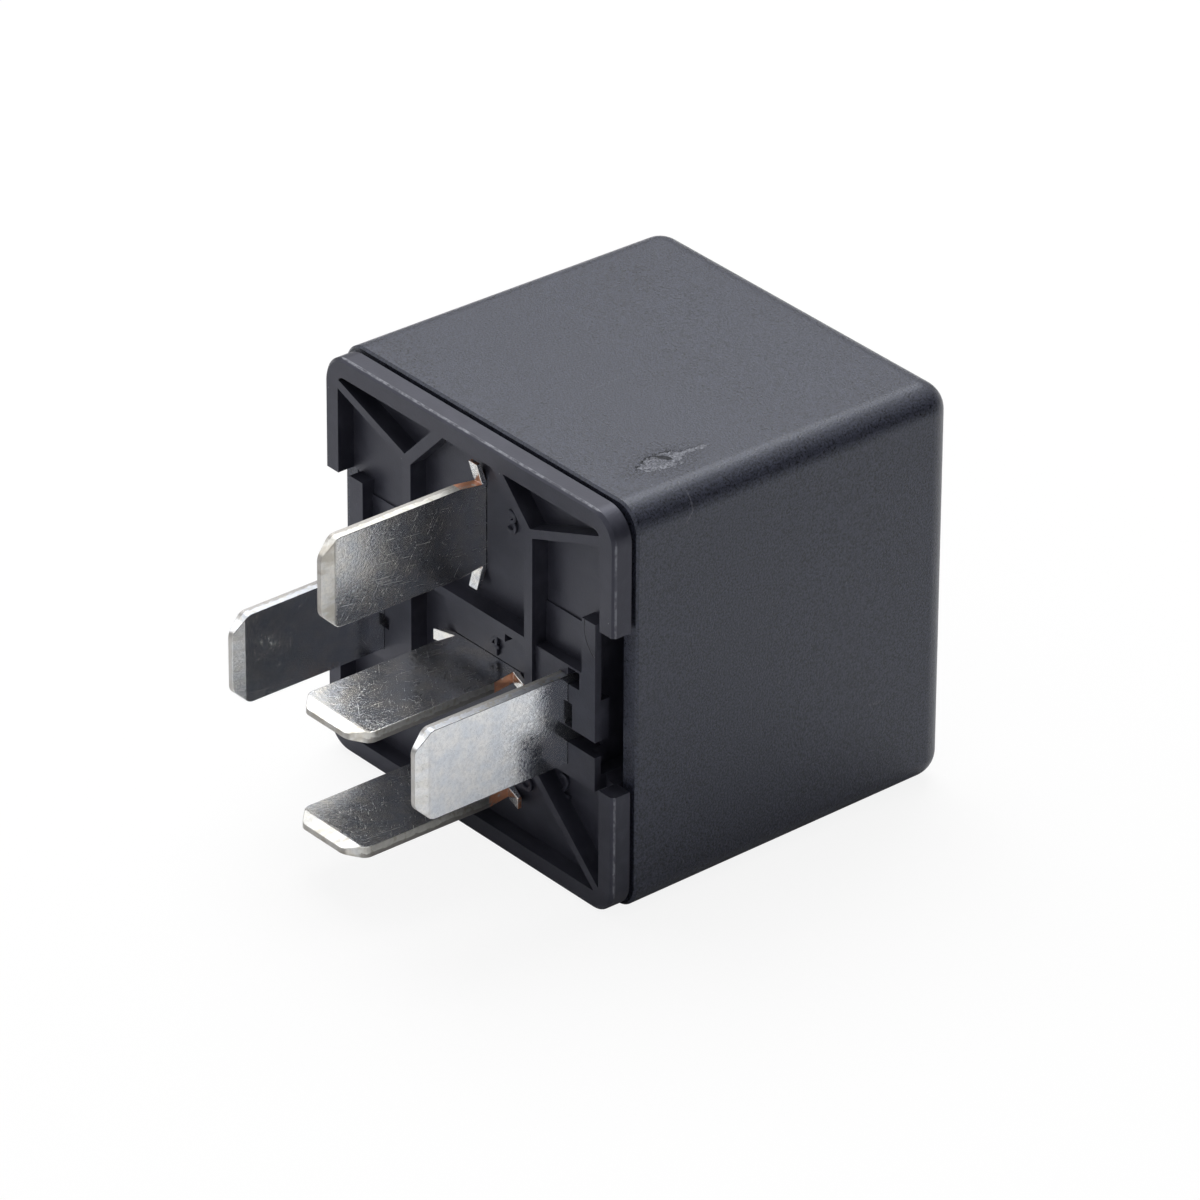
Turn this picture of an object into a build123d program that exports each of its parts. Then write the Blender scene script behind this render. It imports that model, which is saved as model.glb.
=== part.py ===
from build123d import *
import math
import os

# A five-blade automotive changeover relay. A ribbed base carries flat push-on blades, and a
# deep moulded cap slides over it and locks at two side notches. Inside, a coil on an L-shaped
# iron yoke pulls a hinged armature, and a flat spring swings the moving contact between the
# normally closed and the normally open contact.
# The relay lies on one side: blades towards -Y, closed end towards +Y, terminal 30 uppermost.
# Lengths are millimetres. Each piece is built about the middle of the base's front face, in a
# frame with +Y into the relay, and is moved to its resting place when it is written.

# Push-on blades
blade_width = 6.3
blade_thickness = 0.8
blade_reach = 11.6
blade_bevel_length = 0.9
blade_tip_thickness = 0.4
blade_corner_chamfer = 1.15
stake_depth = 0.25
stake_length = 2.0
stake_chip_height = 1.3
stake_chip_thickness = 0.32
stake_chip_lean = 0.5
coil_blade_inset = 3.0
coil_blade_z = -1.95
terminal_30_inset = 5.43
terminal_87_inset = 2.53
terminal_87a_x = 0.5
slot_clearance = 0.04

# Cap
cap_side = 28.7
cap_length = 25.9
cap_wall = 1.25
cap_end_wall = 1.2
cap_draft_deg = 0.45
cap_edge_radius = 1.9
cap_lip_chamfer = 0.15
cap_gap = 0.35
cap_rib_width = 0.8
cap_rib_height = 0.35
cap_rib_spacing = 15.0

# Base flange and the ribs moulded on its front
flange_inset = 0.15
flange_thickness = 1.4
flange_corner_radius = 2.1
flange_front_chamfer = 0.22
rim_width = 1.35
rim_inner_radius = 0.6
cell_depth = 1.25
rib_width = 0.78
thin_rib_width = 0.6
rib_x = 5.98
rib_top_inset = 3.1
rib_bottom_inset = 6.35
fork_x = 2.95
cross_rib_z = 1.95
cross_ledge_drop = 0.85

# Raised blocks round the coil blades, with their core-out pockets
block_top_z = 1.95
block_bottom_z = -5.95
block_front = 0.3
block_pocket_depth = 1.7
block_pocket_wall = 0.15
block_pocket_width = 1.1
block_pocket_height = 1.2
thin_pocket_width = 0.4
thin_pocket_height = 1.7
thin_pocket_drop = 2.5
blade_step_width = 1.3
blade_step_height = 0.9
blade_step_depth = 0.5
key_height = 2.85
key_middle_z = -1.03

# Side notches, with the snap shelf that the cap's lugs hold
notch_height = 11.3
notch_middle_z = 0.25
notch_step = 2.1
notch_depth = 4.0
notch_corner_radius = 0.5
notch_wall_width = 1.3
notch_skin = 0.5
notch_web = 0.5
cell_sill_z = 4.85
cell_sill_rise = 0.12
lug_height = 3.6
lug_length = 1.1
lug_reach = 0.6
lug_clearance = 0.06

# Base plug inside the cap
plug_clearance = 0.12
plug_corner_radius = 0.9
floor_back = 4.4
skirt_length = 2.6
skirt_wall = 0.95
tower_length = 9.2
tower_width = 8.6
tower_wall = 0.8

# Magnet: yoke, core, bobbin and winding
yoke_headroom = 3.6
yoke_thickness = 1.5
yoke_width = 12.0
yoke_bend_radius = 0.6
yoke_foot_inset = 0.8
bobbin_margin = 0.1
bobbin_floor_rise = 4.35
bobbin_flange_thickness = 0.95
bobbin_wall = 0.65
bobbin_ear_height = 4.2
bobbin_ear_margin = 1.2
core_radius = 3.0
core_neck_radius = 2.2
core_fit = 0.04
pole_radius = 4.75
pole_thickness = 1.2
winding_inset = 0.65
winding_margin = 0.08

# Armature and its knife edge
armature_thickness = 1.4
armature_tail = 0.1
armature_tip_margin = 1.7
armature_tip_width = 7.0
ear_length = 1.0
ear_width = 1.15
ear_clearance = 0.2
pull_in_deg = 3.0
hinge_gap = 0.05
pole_gap = 0.1

# Contact spring and contacts
spring_thickness = 0.3
spring_width = 8.4
spring_arm_width = 4.2
spring_foot_length = 9.0
spring_root_radius = 0.9
spring_loop_radius = 1.1
spring_climb_deg = 60.0
spring_arm_margin = 0.3
spring_waist_length = 1.95
spring_window_margin = 0.6
spring_window_width = 4.4
contact_rise = 1.65
contact_radius = 1.6
contact_head = 0.7
contact_shank_radius = 0.75
contact_clearance = 0.05
tab_height = 4.0
tab_margin = 2.0

# Rivets, posts and lead wires
rivet_radius = 0.8
rivet_head_radius = 1.4
rivet_head = 0.5
rivet_spacing = 4.8
rivet_slack = 0.02
post_height = 1.6
post_length = 4.4
wire_radius = 0.15
solder_length = 1.5
solder_wall = 0.35
stem_87a_inset = 3.0
link_87a_height = 3.1
link_87a_width = 2.5
sheet_bend_radius = 0.3
foot_clearance = 0.4
end_clearance = 1.3

# Places along the relay worked out from the sizes above
cap_start = flange_thickness + cap_gap
cap_end = cap_start + cap_length
cap_inside_end = cap_end - cap_end_wall
cap_inside_half = cap_side / 2 - cap_wall
plug_half = cap_inside_half - plug_clearance
flange_half = cap_side / 2 - flange_inset
rim_half = flange_half - rim_width
draft_slope = math.tan(math.radians(cap_draft_deg))
rib_top_z = rim_half - rib_top_inset
rib_bottom_z = rib_bottom_inset - rim_half
notch_floor_x = flange_half - notch_step
coil_blade_x = notch_floor_x - coil_blade_inset
notch_recess_x = coil_blade_x + blade_thickness / 2 + block_pocket_width + notch_web
notch_top_z = notch_middle_z + notch_height / 2
notch_bottom_z = notch_middle_z - notch_height / 2
terminal_30_z = plug_half - terminal_30_inset
terminal_87_z = terminal_87_inset - plug_half
stem_87a_x = coil_blade_x - stem_87a_inset

# Places of the magnet and the contacts, from the cap's inside and terminal 87
yoke_outside_z = cap_inside_half - yoke_headroom
yoke_inside_z = yoke_outside_z - yoke_thickness
bobbin_top_z = yoke_inside_z - bobbin_margin
bobbin_bottom_z = terminal_87_z + bobbin_floor_rise
bobbin_flange_radius = (bobbin_top_z - bobbin_bottom_z) / 2
winding_radius = bobbin_flange_radius - winding_inset
coil_axis_z = (bobbin_top_z + bobbin_bottom_z) / 2
contact_z = terminal_87_z + contact_rise
armature_bottom_z = contact_z + contact_radius + armature_tip_margin
hinge_z = yoke_outside_z
swing = (hinge_z - contact_z) * math.sin(math.radians(pull_in_deg))
closed_tab_end = cap_inside_end - end_clearance
closed_tab_back = closed_tab_end - blade_thickness
closed_contact_face = closed_tab_back - contact_head
spring_face = closed_contact_face - 2 * contact_clearance - swing - contact_head - spring_thickness
armature_face = spring_face - armature_thickness
hinge_y = armature_face
pole_face = armature_face - pole_gap
knife_edge = armature_face - hinge_gap
bobbin_end = pole_face - pole_thickness
foot_face = floor_back
bobbin_start = foot_face + yoke_thickness
open_contact_face = spring_face - contact_head - contact_clearance
open_tab_front = open_contact_face - contact_head
terminal_30_tab = foot_face - blade_thickness
link_back = foot_face - foot_clearance
link_front = link_back - blade_thickness
stem_bottom = contact_z - tab_height / 2
stem_top = contact_z + tab_height / 2


def block(x, y, z):
    """A box between a low and a high value along each axis."""
    size = [high - low for low, high in (x, y, z)]
    middle = [(low + high) / 2 for low, high in (x, y, z)]
    return Pos(*middle) * Box(*size)


def slab(outline, front, back):
    """An outline drawn in X and Z, made solid between two places along Y."""
    return extrude(Plane.XZ.offset(-back) * outline, amount=back - front, dir=(0, -1, 0))


def sheet(outline, low, high):
    """An outline drawn in Y and Z, made solid between two places along X."""
    return extrude(Plane.YZ.offset(low) * outline, amount=high - low, dir=(1, 0, 0))


def disc(radius, front, back, x=0.0, z=0.0):
    """A round bar along Y."""
    return slab(Pos(x, z) * Circle(radius), front, back)


def strip(start, end, width):
    """A straight rib outline with square ends that reach half its width past both points."""
    run = Vector(end[0] - start[0], end[1] - start[1])
    turn = math.degrees(math.atan2(run.Y, run.X))
    middle = ((start[0] + end[0]) / 2, (start[1] + end[1]) / 2)
    return Pos(*middle) * Rot(0, 0, turn) * Rectangle(run.length + width, width)


def mirrored(solid):
    """A solid together with its mirror image across the relay's middle."""
    return solid + mirror(solid, Plane.YZ)


def stake(half):
    """The scoop shaved along a blade's +X edge, and the curled chip that locks it in the base."""
    end = cell_depth
    foot = end - stake_chip_thickness
    start = end - stake_length
    scoop = Polygon(
        (half, start), (half - stake_depth, foot), (half - stake_depth, end), (2 * half, end),
        (2 * half, start), align=None)
    tip = foot - stake_chip_lean
    chip = Polygon(
        (half - stake_depth, end), (half - stake_depth, foot), (half, foot - stake_chip_lean / 4),
        (half + stake_chip_height, tip), (half + stake_chip_height, tip + stake_chip_thickness),
        (half, end), align=None)
    return [extrude(outline, amount=blade_thickness / 2, both=True) for outline in (scoop, chip)]


def blade(back, staked=True):
    """A blade lying flat on XY about its own middle: bevelled tip, cut corners and staked edges."""
    half = blade_width / 2
    tip = -blade_reach
    plan = Polygon(
        (-half, back), (half, back), (half, tip + blade_corner_chamfer),
        (half - blade_corner_chamfer, tip), (blade_corner_chamfer - half, tip),
        (-half, tip + blade_corner_chamfer), align=None)
    flat = extrude(plan, amount=blade_thickness / 2, both=True)
    rise = blade_thickness / 2
    edge = blade_tip_thickness / 2
    side = Polygon(
        (tip, -edge), (tip + blade_bevel_length, -rise), (back, -rise),
        (back, rise), (tip + blade_bevel_length, rise), (tip, edge), align=None)
    body = flat & sheet(side, -half, half)
    if staked:
        scoop, chip = stake(half)
        body = body - mirrored(scoop) + mirrored(chip)
    return body


def level_blade(x, z, back):
    """A blade lying level, wide in X."""
    return Pos(x, 0, z) * blade(back)


def upright_blade(x, z, back, staked=True):
    """A blade standing on edge, wide in Z."""
    return Pos(x, 0, z) * Rot(0, 90, 0) * blade(back, staked)


def blade_slot(x, z, upright):
    """The slot that a blade passes through the base in."""
    wide = blade_width / 2 + slot_clearance
    thin = blade_thickness / 2 + slot_clearance
    half_x, half_z = (thin, wide) if upright else (wide, thin)
    return block((x - half_x, x + half_x), (-1, floor_back + 1), (z - half_z, z + half_z))


def rounded_square(side, radius):
    """A square outline with rounded corners."""
    return RectangleRounded(side, side, radius)


def tapered_box(side, front, back):
    """A square bar whose four sides draw in towards its back by the draft."""
    wide = side / 2
    narrow = wide - (back - front) * draft_slope
    outline = Polygon((front, -wide), (back, -narrow), (back, narrow), (front, wide), align=None)
    wedge = sheet(outline, -wide, wide)
    return wedge & (Rot(0, 90, 0) * wedge)


def cap_lug(side):
    """One snap lug inside the cap, sloped on the side that the base arrives from."""
    wall = cap_inside_half
    back = notch_depth - lug_clearance
    profile = Polygon(
        (wall + cap_wall / 2, back - 2 * lug_length), (wall, back - 2 * lug_length),
        (wall - lug_reach, back - lug_length / 3), (wall - lug_reach, back),
        (wall + cap_wall / 2, back), align=None)
    low = notch_middle_z + notch_height / 2 - notch_corner_radius - lug_height
    lug = Pos(0, 0, low) * extrude(profile, amount=lug_height, dir=(0, 0, 1))
    return lug if side > 0 else mirror(lug, Plane.YZ)


def make_cap():
    """The deep moulded cap, with snap lugs and stiffening ribs on its inside."""
    outer = tapered_box(cap_side, cap_start, cap_end)
    mouth = outer.faces().sort_by(Axis.Y)[0].edges()
    outer = fillet([edge for edge in outer.edges() if edge not in mouth], cap_edge_radius)
    outer = chamfer(outer.faces().sort_by(Axis.Y)[0].edges(), cap_lip_chamfer)
    inner = tapered_box(2 * cap_inside_half, cap_start, cap_inside_end)
    walls = inner.edges().filter_by(lambda edge: edge.bounding_box().size.Y > cap_length / 2)
    shell = outer - fillet(walls, cap_edge_radius - cap_wall)
    first = floor_back + skirt_length + 1
    for turn in (0, 90, 180, 270):
        for place in (-cap_rib_spacing / 2, cap_rib_spacing / 2):
            depth = cap_inside_half + cap_wall / 2
            rib = block(
                (place - cap_rib_width / 2, place + cap_rib_width / 2),
                (first, cap_inside_end),
                (cap_inside_half - cap_rib_height - draft_slope * cap_length, depth))
            shell += Rot(0, turn, 0) * rib
    for side in (-1, 1):
        shell += cap_lug(side)
    return shell & outer


def side_notch():
    """The deep notch in the base's +X side, stopped by the snap shelf."""
    tall = (notch_bottom_z, notch_top_z)
    notch = block((notch_floor_x, cap_side), (-1, notch_depth), tall)
    return fillet(notch.edges().filter_by(Axis.Y), notch_corner_radius)


def notch_hollow():
    """The hollow that widens the notch behind its thin front wall, above and below the guide key."""
    deep = (notch_recess_x, notch_floor_x + 0.2)
    low = notch_bottom_z + notch_corner_radius
    high = notch_top_z - notch_corner_radius
    hollow = block(deep, (block_front + notch_skin, notch_depth), (low, high))
    half = key_height / 2
    return hollow - block(deep, (0, flange_thickness), (key_middle_z - half, key_middle_z + half))


def front_ribs():
    """The outlines of the stiffening ribs on the base's front."""
    ribs = strip((-rib_x, cross_rib_z), (rib_x, cross_rib_z), thin_rib_width)
    for side in (-1, 1):
        top = (side * rib_x, rib_top_z)
        bottom = (side * rib_x, rib_bottom_z)
        ribs += strip(top, bottom, rib_width)
        ribs += strip(top, (side * fork_x, rim_half), rib_width)
        ribs += strip(top, (side * rim_half, rim_half - rim_inner_radius), thin_rib_width)
        ribs += strip(bottom, (side * rim_half, -rim_half), thin_rib_width)
    return ribs


def coil_block():
    """The outline of the raised block round the +X coil blade."""
    middle = ((rib_x + notch_floor_x) / 2, (block_top_z + block_bottom_z) / 2)
    size = (notch_floor_x - rib_x, block_top_z - block_bottom_z)
    wall = (notch_floor_x - notch_wall_width / 2, (block_top_z + notch_top_z) / 2)
    height = notch_top_z - block_top_z
    return Pos(*middle) * Rectangle(*size) + Pos(*wall) * Rectangle(notch_wall_width, height)


def cell_sill():
    """The low step in the cell's floor above the +X block."""
    return block(
        (rib_x, notch_floor_x - notch_wall_width / 2), (cell_depth - cell_sill_rise, cell_depth + 0.1),
        (block_top_z - 0.1, cell_sill_z))


def block_pockets():
    """The core-out pockets in the block beside the +X coil blade."""
    near = coil_blade_x + blade_thickness / 2
    top = block_top_z - block_pocket_wall
    deep = (-1, block_pocket_depth)
    pockets = block((near, near + block_pocket_width), deep, (top - block_pocket_height, top))
    high = top - thin_pocket_drop
    pockets += block((near, near + thin_pocket_width), deep, (high - thin_pocket_height, high))
    high = key_middle_z - key_height / 2
    low = high - block_pocket_width
    pockets += block((near, notch_floor_x + 1), deep, (low, high))
    shallow = (-1, block_front + blade_step_depth)
    pockets += block((near - blade_step_width, near), shallow, (low, low + blade_step_height))
    return pockets


def contact_tower():
    """The hollow tower on the base's inside that holds the stem of terminal 87."""
    half = tower_width / 2
    low = terminal_87_z - blade_thickness / 2 - tower_wall
    high = terminal_87_z + blade_thickness / 2 + tower_wall
    back = floor_back + tower_length
    tower = block((-half, half), (floor_back - 0.5, back), (low, high))
    hollow = half - tower_wall
    rebate = block((-hollow, hollow), (back - 2 * tower_wall, back + 1), (terminal_87_z, high + 1))
    return tower - rebate


def tab_recess():
    """The recess in the base's inside that terminal 30's tab lies in."""
    half = blade_width / 2 + slot_clearance
    low_x = -blade_thickness / 2 - slot_clearance
    high_x = blade_thickness / 2 + blade_width + slot_clearance
    return block(
        (low_x, high_x), (terminal_30_tab, floor_back + 1),
        (terminal_30_z - half, terminal_30_z + half))


def link_channel():
    """The channel in the base's inside that terminal 87a's link lies in."""
    return slab(offset(link_outline(), slot_clearance, kind=Kind.INTERSECTION), link_front, floor_back + 1)


def make_base():
    """The moulded base: ribbed flange, plug, snap notches, skirt and contact tower."""
    flange = slab(rounded_square(2 * flange_half, flange_corner_radius), 0, flange_thickness)
    flange = chamfer(flange.faces().sort_by(Axis.Y)[0].edges(), flange_front_chamfer)
    plug = slab(rounded_square(2 * plug_half, plug_corner_radius), flange_thickness, floor_back)
    wall = slab(rounded_square(2 * plug_half, plug_corner_radius), floor_back, floor_back + skirt_length)
    wall -= block(
        (skirt_wall - plug_half, plug_half - skirt_wall), (floor_back, floor_back + skirt_length),
        (skirt_wall - plug_half, plug_half - skirt_wall))
    base = flange + plug + wall + contact_tower()
    cells = rounded_square(2 * rim_half, rim_inner_radius) - front_ribs()
    block_outline = coil_block()
    block_outline += mirror(block_outline, Plane.YZ)
    base -= slab(cells - block_outline, -1, cell_depth)
    base -= slab(block_outline - front_ribs(), -1, block_front)
    ledge = cross_rib_z - cross_ledge_drop
    base += block((-fork_x, fork_x), (cell_depth / 2, cell_depth), (ledge - thin_rib_width, ledge))
    base += mirrored(cell_sill())
    base -= mirrored(side_notch())
    base -= mirrored(notch_hollow())
    base -= mirrored(block_pockets())
    for x in (-coil_blade_x, coil_blade_x):
        base -= blade_slot(x, coil_blade_z, True)
    base -= blade_slot(0, terminal_30_z, True)
    base -= blade_slot(terminal_87a_x, coil_blade_z, False)
    stem = block(
        (-blade_width / 2 - slot_clearance, blade_width / 2 + slot_clearance),
        (-1, floor_back + tower_length + 1),
        (terminal_87_z - blade_thickness / 2 - slot_clearance,
         terminal_87_z + blade_thickness / 2 + slot_clearance))
    base -= stem
    base -= tab_recess()
    base -= link_channel()
    base -= block(
        (stem_87a_x - slot_clearance, stem_87a_x + blade_thickness + slot_clearance),
        (link_front, floor_back + tower_length + 1),
        (stem_bottom - slot_clearance, stem_top + slot_clearance))
    return base


def make_terminal_30():
    """Terminal 30: an upright blade, folded flat against the yoke's foot and welded to it."""
    upright = upright_blade(0, terminal_30_z, foot_face)
    half = blade_width / 2
    tab = block(
        (-blade_thickness / 2, blade_thickness / 2 + blade_width), (terminal_30_tab, foot_face),
        (terminal_30_z - half, terminal_30_z + half))
    piece = upright + tab
    bend = piece.edges().filter_by(Axis.Z).group_by(Axis.X)[0].sort_by(Axis.Y)[-1]
    return fillet(bend, sheet_bend_radius)


def make_coil_terminal(side):
    """Terminal 85 or 86: an upright blade that ends in a narrow post for the coil wire."""
    x = side * coil_blade_x
    shoulder = floor_back + 0.4
    piece = upright_blade(x, coil_blade_z, shoulder, staked=False)
    post = block(
        (x - blade_thickness / 2, x + blade_thickness / 2), (shoulder - 0.1, shoulder + post_length),
        (coil_blade_z - post_height / 2, coil_blade_z + post_height / 2))
    return piece + post


def contact_hole(x, front, back, z):
    """The hole for a contact rivet's shank."""
    return disc(contact_shank_radius, front, back, x, z)


def make_terminal_87():
    """Terminal 87: a level blade with an upturned tab for the normally open contact."""
    half = blade_width / 2
    piece = level_blade(0, terminal_87_z, open_tab_front)
    tab = block(
        (-half, half), (open_tab_front - blade_thickness, open_tab_front),
        (terminal_87_z - blade_thickness / 2, contact_z + tab_margin))
    piece += tab
    bend = piece.edges().filter_by(Axis.X).group_by(Axis.Z)[0].sort_by(Axis.Y)[-1]
    piece = fillet(bend, sheet_bend_radius)
    corners = piece.faces().sort_by(Axis.Z)[-1].edges().filter_by(Axis.Y)
    piece = chamfer(corners, blade_thickness)
    return piece - contact_hole(0, open_tab_front - 2, open_tab_front + 1, contact_z)


def link_outline():
    """The cranked link of terminal 87a, which lies in the base."""
    left = terminal_87a_x - blade_width / 2
    right = stem_87a_x + blade_thickness
    top = coil_blade_z + blade_thickness / 2
    low = top - link_87a_height
    return Polygon(
        (left, top), (right, top), (right, stem_bottom), (right - link_87a_width, stem_bottom),
        (right - link_87a_width, low), (left, low), align=None)


def make_terminal_87a():
    """Terminal 87a: a level blade, a cranked link, a side stem and the closed contact's tab."""
    piece = level_blade(terminal_87a_x, coil_blade_z, link_back)
    piece += slab(link_outline(), link_front, link_back)
    right = stem_87a_x + blade_thickness
    piece += block((stem_87a_x, right), (link_front, closed_tab_end), (stem_bottom, stem_top))
    tab = block((-tab_margin, right), (closed_tab_back, closed_tab_end), (stem_bottom, stem_top))
    corners = tab.edges().filter_by(Axis.Y).group_by(Axis.X)[0]
    piece += chamfer(corners, blade_thickness)
    bend = piece.edges().filter_by(Axis.Z).group_by(Axis.X)[-1].sort_by(Axis.Y)[-1]
    piece = fillet(bend, sheet_bend_radius)
    return piece - contact_hole(0, closed_tab_back - 1, closed_tab_end + 1, contact_z)


def make_yoke():
    """The L-shaped iron yoke, with ears that keep the armature on its knife edge."""
    half = yoke_width / 2
    bottom = bobbin_bottom_z + yoke_foot_inset
    outline = Polygon(
        (foot_face, bottom), (foot_face, yoke_outside_z), (knife_edge, yoke_outside_z),
        (knife_edge, yoke_inside_z), (bobbin_start, yoke_inside_z), (bobbin_start, bottom),
        align=None)
    yoke = sheet(outline, -half, half)
    edges = yoke.edges().filter_by(Axis.X)
    inner = edges.filter_by_position(Axis.Z, yoke_inside_z, yoke_inside_z).sort_by(Axis.Y)[0]
    yoke = fillet(inner, yoke_bend_radius)
    edges = yoke.edges().filter_by(Axis.X)
    outer = edges.filter_by_position(Axis.Z, yoke_outside_z, yoke_outside_z).sort_by(Axis.Y)[0]
    yoke = fillet(outer, yoke_bend_radius + yoke_thickness)
    ears = block((half - ear_width, half), (knife_edge - 0.1, knife_edge + ear_length),
                 (yoke_inside_z, yoke_outside_z))
    yoke += mirrored(ears)
    yoke -= disc(core_neck_radius, foot_face - 1, bobbin_start + 1, 0, coil_axis_z)
    for x in (-rivet_spacing / 2, rivet_spacing / 2):
        yoke -= Pos(x, spring_rivet_y(), yoke_outside_z) * Cylinder(
            rivet_radius + rivet_slack, 4 * yoke_thickness)
    return yoke


def make_core():
    """The turned iron core: neck staked in the yoke's foot, shank and pole head."""
    neck = disc(core_neck_radius, foot_face, bobbin_start, 0, coil_axis_z)
    shank = disc(core_radius, bobbin_start, bobbin_end, 0, coil_axis_z)
    pole = disc(pole_radius, bobbin_end, pole_face, 0, coil_axis_z)
    return neck + shank + pole


def bobbin_ear():
    """The ear of the bobbin's lower flange that the +X coil terminal's post passes through."""
    outside = coil_blade_x + blade_thickness / 2 + bobbin_ear_margin
    low = coil_blade_z - bobbin_ear_height / 2
    back = bobbin_start + bobbin_flange_thickness
    ear = block((core_radius, outside), (bobbin_start, back), (low, low + bobbin_ear_height))
    half_x = blade_thickness / 2 + slot_clearance
    half_z = post_height / 2 + slot_clearance
    slot = block(
        (coil_blade_x - half_x, coil_blade_x + half_x), (bobbin_start - 1, back + 1),
        (coil_blade_z - half_z, coil_blade_z + half_z))
    return ear - slot


def make_bobbin():
    """The moulded bobbin: a thin tube, two flanges and an ear on each side of the lower one."""
    near = disc(bobbin_flange_radius, bobbin_start, bobbin_start + bobbin_flange_thickness, 0, coil_axis_z)
    far = disc(bobbin_flange_radius, bobbin_end - bobbin_flange_thickness, bobbin_end, 0, coil_axis_z)
    hub = disc(core_radius + core_fit + bobbin_wall, bobbin_start, bobbin_end, 0, coil_axis_z)
    bobbin = near + far + hub + mirrored(bobbin_ear())
    flat = yoke_inside_z - yoke_bend_radius - core_fit
    bobbin -= block(
        (-yoke_width, yoke_width), (bobbin_start - 1, bobbin_start + bobbin_flange_thickness),
        (flat, flat + bobbin_flange_radius))
    return bobbin - disc(core_radius + core_fit, bobbin_start - 1, bobbin_end + 1, 0, coil_axis_z)


def make_winding():
    """The wound copper coil as one body between the bobbin's flanges."""
    front = bobbin_start + bobbin_flange_thickness + winding_margin
    back = bobbin_end - bobbin_flange_thickness - winding_margin
    winding = disc(winding_radius, front, back, 0, coil_axis_z)
    return winding - disc(core_radius + core_fit + bobbin_wall, front - 1, back + 1, 0, coil_axis_z)


def released(piece):
    """A moving piece turned from the pulled-in place to its resting place."""
    return piece.rotate(Axis((0, hinge_y, hinge_z), (1, 0, 0)), pull_in_deg)


def make_armature():
    """The flat iron armature, narrowed between the yoke's ears and towards its tip."""
    narrow = yoke_width / 2 - ear_width - ear_clearance
    half = yoke_width / 2
    tip = armature_tip_width / 2
    top = hinge_z + armature_tail
    shoulder = yoke_inside_z - ear_clearance
    middle = coil_axis_z - pole_radius / 2
    bottom = armature_bottom_z
    right = [(narrow, top), (narrow, shoulder), (half, shoulder), (half, middle), (tip, bottom)]
    left = [(-x, z) for x, z in reversed(right)]
    plate = slab(Polygon(*right, *left, align=None), armature_face, spring_face)
    for x, z in armature_rivet_places():
        plate -= disc(rivet_radius + rivet_slack, armature_face - 1, spring_face + 1, x, z)
    return released(plate)


def armature_rivet_places():
    """Where the spring is riveted to the armature."""
    return [(x, coil_axis_z + rivet_radius) for x in (-rivet_spacing / 2, rivet_spacing / 2)]


def spring_rivet_y():
    """How far in the spring is riveted to the yoke."""
    foot = spring_path()[0]
    return (foot @ 0.5).X


def spring_path():
    """The spring's middle line, seen from the side: foot, loop over the hinge and arm."""
    lean = math.radians(pull_in_deg)
    climb = math.radians(spring_climb_deg)
    foot_z = yoke_outside_z + spring_thickness / 2
    along = Vector(math.sin(lean), -math.cos(lean))
    across = Vector(math.cos(lean), math.sin(lean))
    skin = Vector(hinge_y, hinge_z) + across * (armature_thickness + spring_thickness / 2)
    arm_end = skin + along * (hinge_z - contact_z + contact_radius + spring_arm_margin)
    run = spring_root_radius * math.sin(climb) + spring_loop_radius * (math.sin(climb) + math.cos(lean))
    loop_fall = spring_loop_radius * (math.sin(lean) - math.cos(climb))
    rise = spring_root_radius * (1 - math.cos(climb)) + loop_fall
    drop = (skin.Y - foot_z - rise) / math.cos(lean)
    foot_end = skin.X + drop * math.sin(lean) - run
    foot = Line((foot_end - spring_foot_length, foot_z), (foot_end, foot_z))
    root = JernArc(foot @ 1, foot % 1, spring_root_radius, spring_climb_deg)
    loop = JernArc(root @ 1, root % 1, spring_loop_radius, pull_in_deg - 90 - spring_climb_deg)
    return foot, root + loop, Line(loop @ 1, (arm_end.X, arm_end.Y))


def make_spring():
    """The flat contact spring: riveted to the yoke, looped round the hinge and down the armature."""
    foot, loop, arm = spring_path()
    section = trace(foot + loop + arm, line_width=spring_thickness)
    strip_solid = sheet(section, -spring_width / 2, spring_width / 2)
    narrow = spring_arm_width / 2
    narrow_top = armature_bottom_z - spring_arm_margin
    waist = narrow_top + spring_waist_length
    far = arm.bounding_box().min.Y - 1
    trim = Polygon(
        (narrow, far), (narrow, narrow_top), (spring_width / 2, waist), (spring_width, waist),
        (spring_width, far), align=None)
    strip_solid -= mirrored(slab(trim, spring_face - 2, cap_inside_end))
    window = block(
        (-spring_window_width / 2, spring_window_width / 2),
        ((foot @ 1).X - spring_window_margin, cap_inside_end),
        ((arm @ 0).Y - 2 * spring_window_margin, hinge_z + spring_foot_length))
    strip_solid -= window
    for x in (-rivet_spacing / 2, rivet_spacing / 2):
        strip_solid -= Pos(x, spring_rivet_y(), yoke_outside_z) * Cylinder(
            rivet_radius + rivet_slack, 4 * yoke_thickness)
    for x, z in armature_rivet_places():
        strip_solid -= released(disc(rivet_radius + rivet_slack, spring_face - 1, spring_face + 2, x, z))
    shank = contact_hole(0, spring_face - 1, spring_face + 2, contact_z)
    return strip_solid - released(shank)


def make_moving_contact():
    """The double-headed silver contact riveted through the spring's arm."""
    front = spring_face - contact_head
    back = spring_face + spring_thickness + contact_head
    piece = disc(contact_radius, front, spring_face, 0, contact_z)
    piece += disc(contact_radius, spring_face + spring_thickness, back, 0, contact_z)
    piece += disc(contact_shank_radius, front, back, 0, contact_z)
    return released(piece)


def make_open_contact():
    """The normally open contact, riveted to terminal 87's tab."""
    piece = disc(contact_radius, open_tab_front, open_contact_face, 0, contact_z)
    return piece + disc(contact_shank_radius, open_tab_front - blade_thickness, open_tab_front, 0, contact_z)


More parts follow.
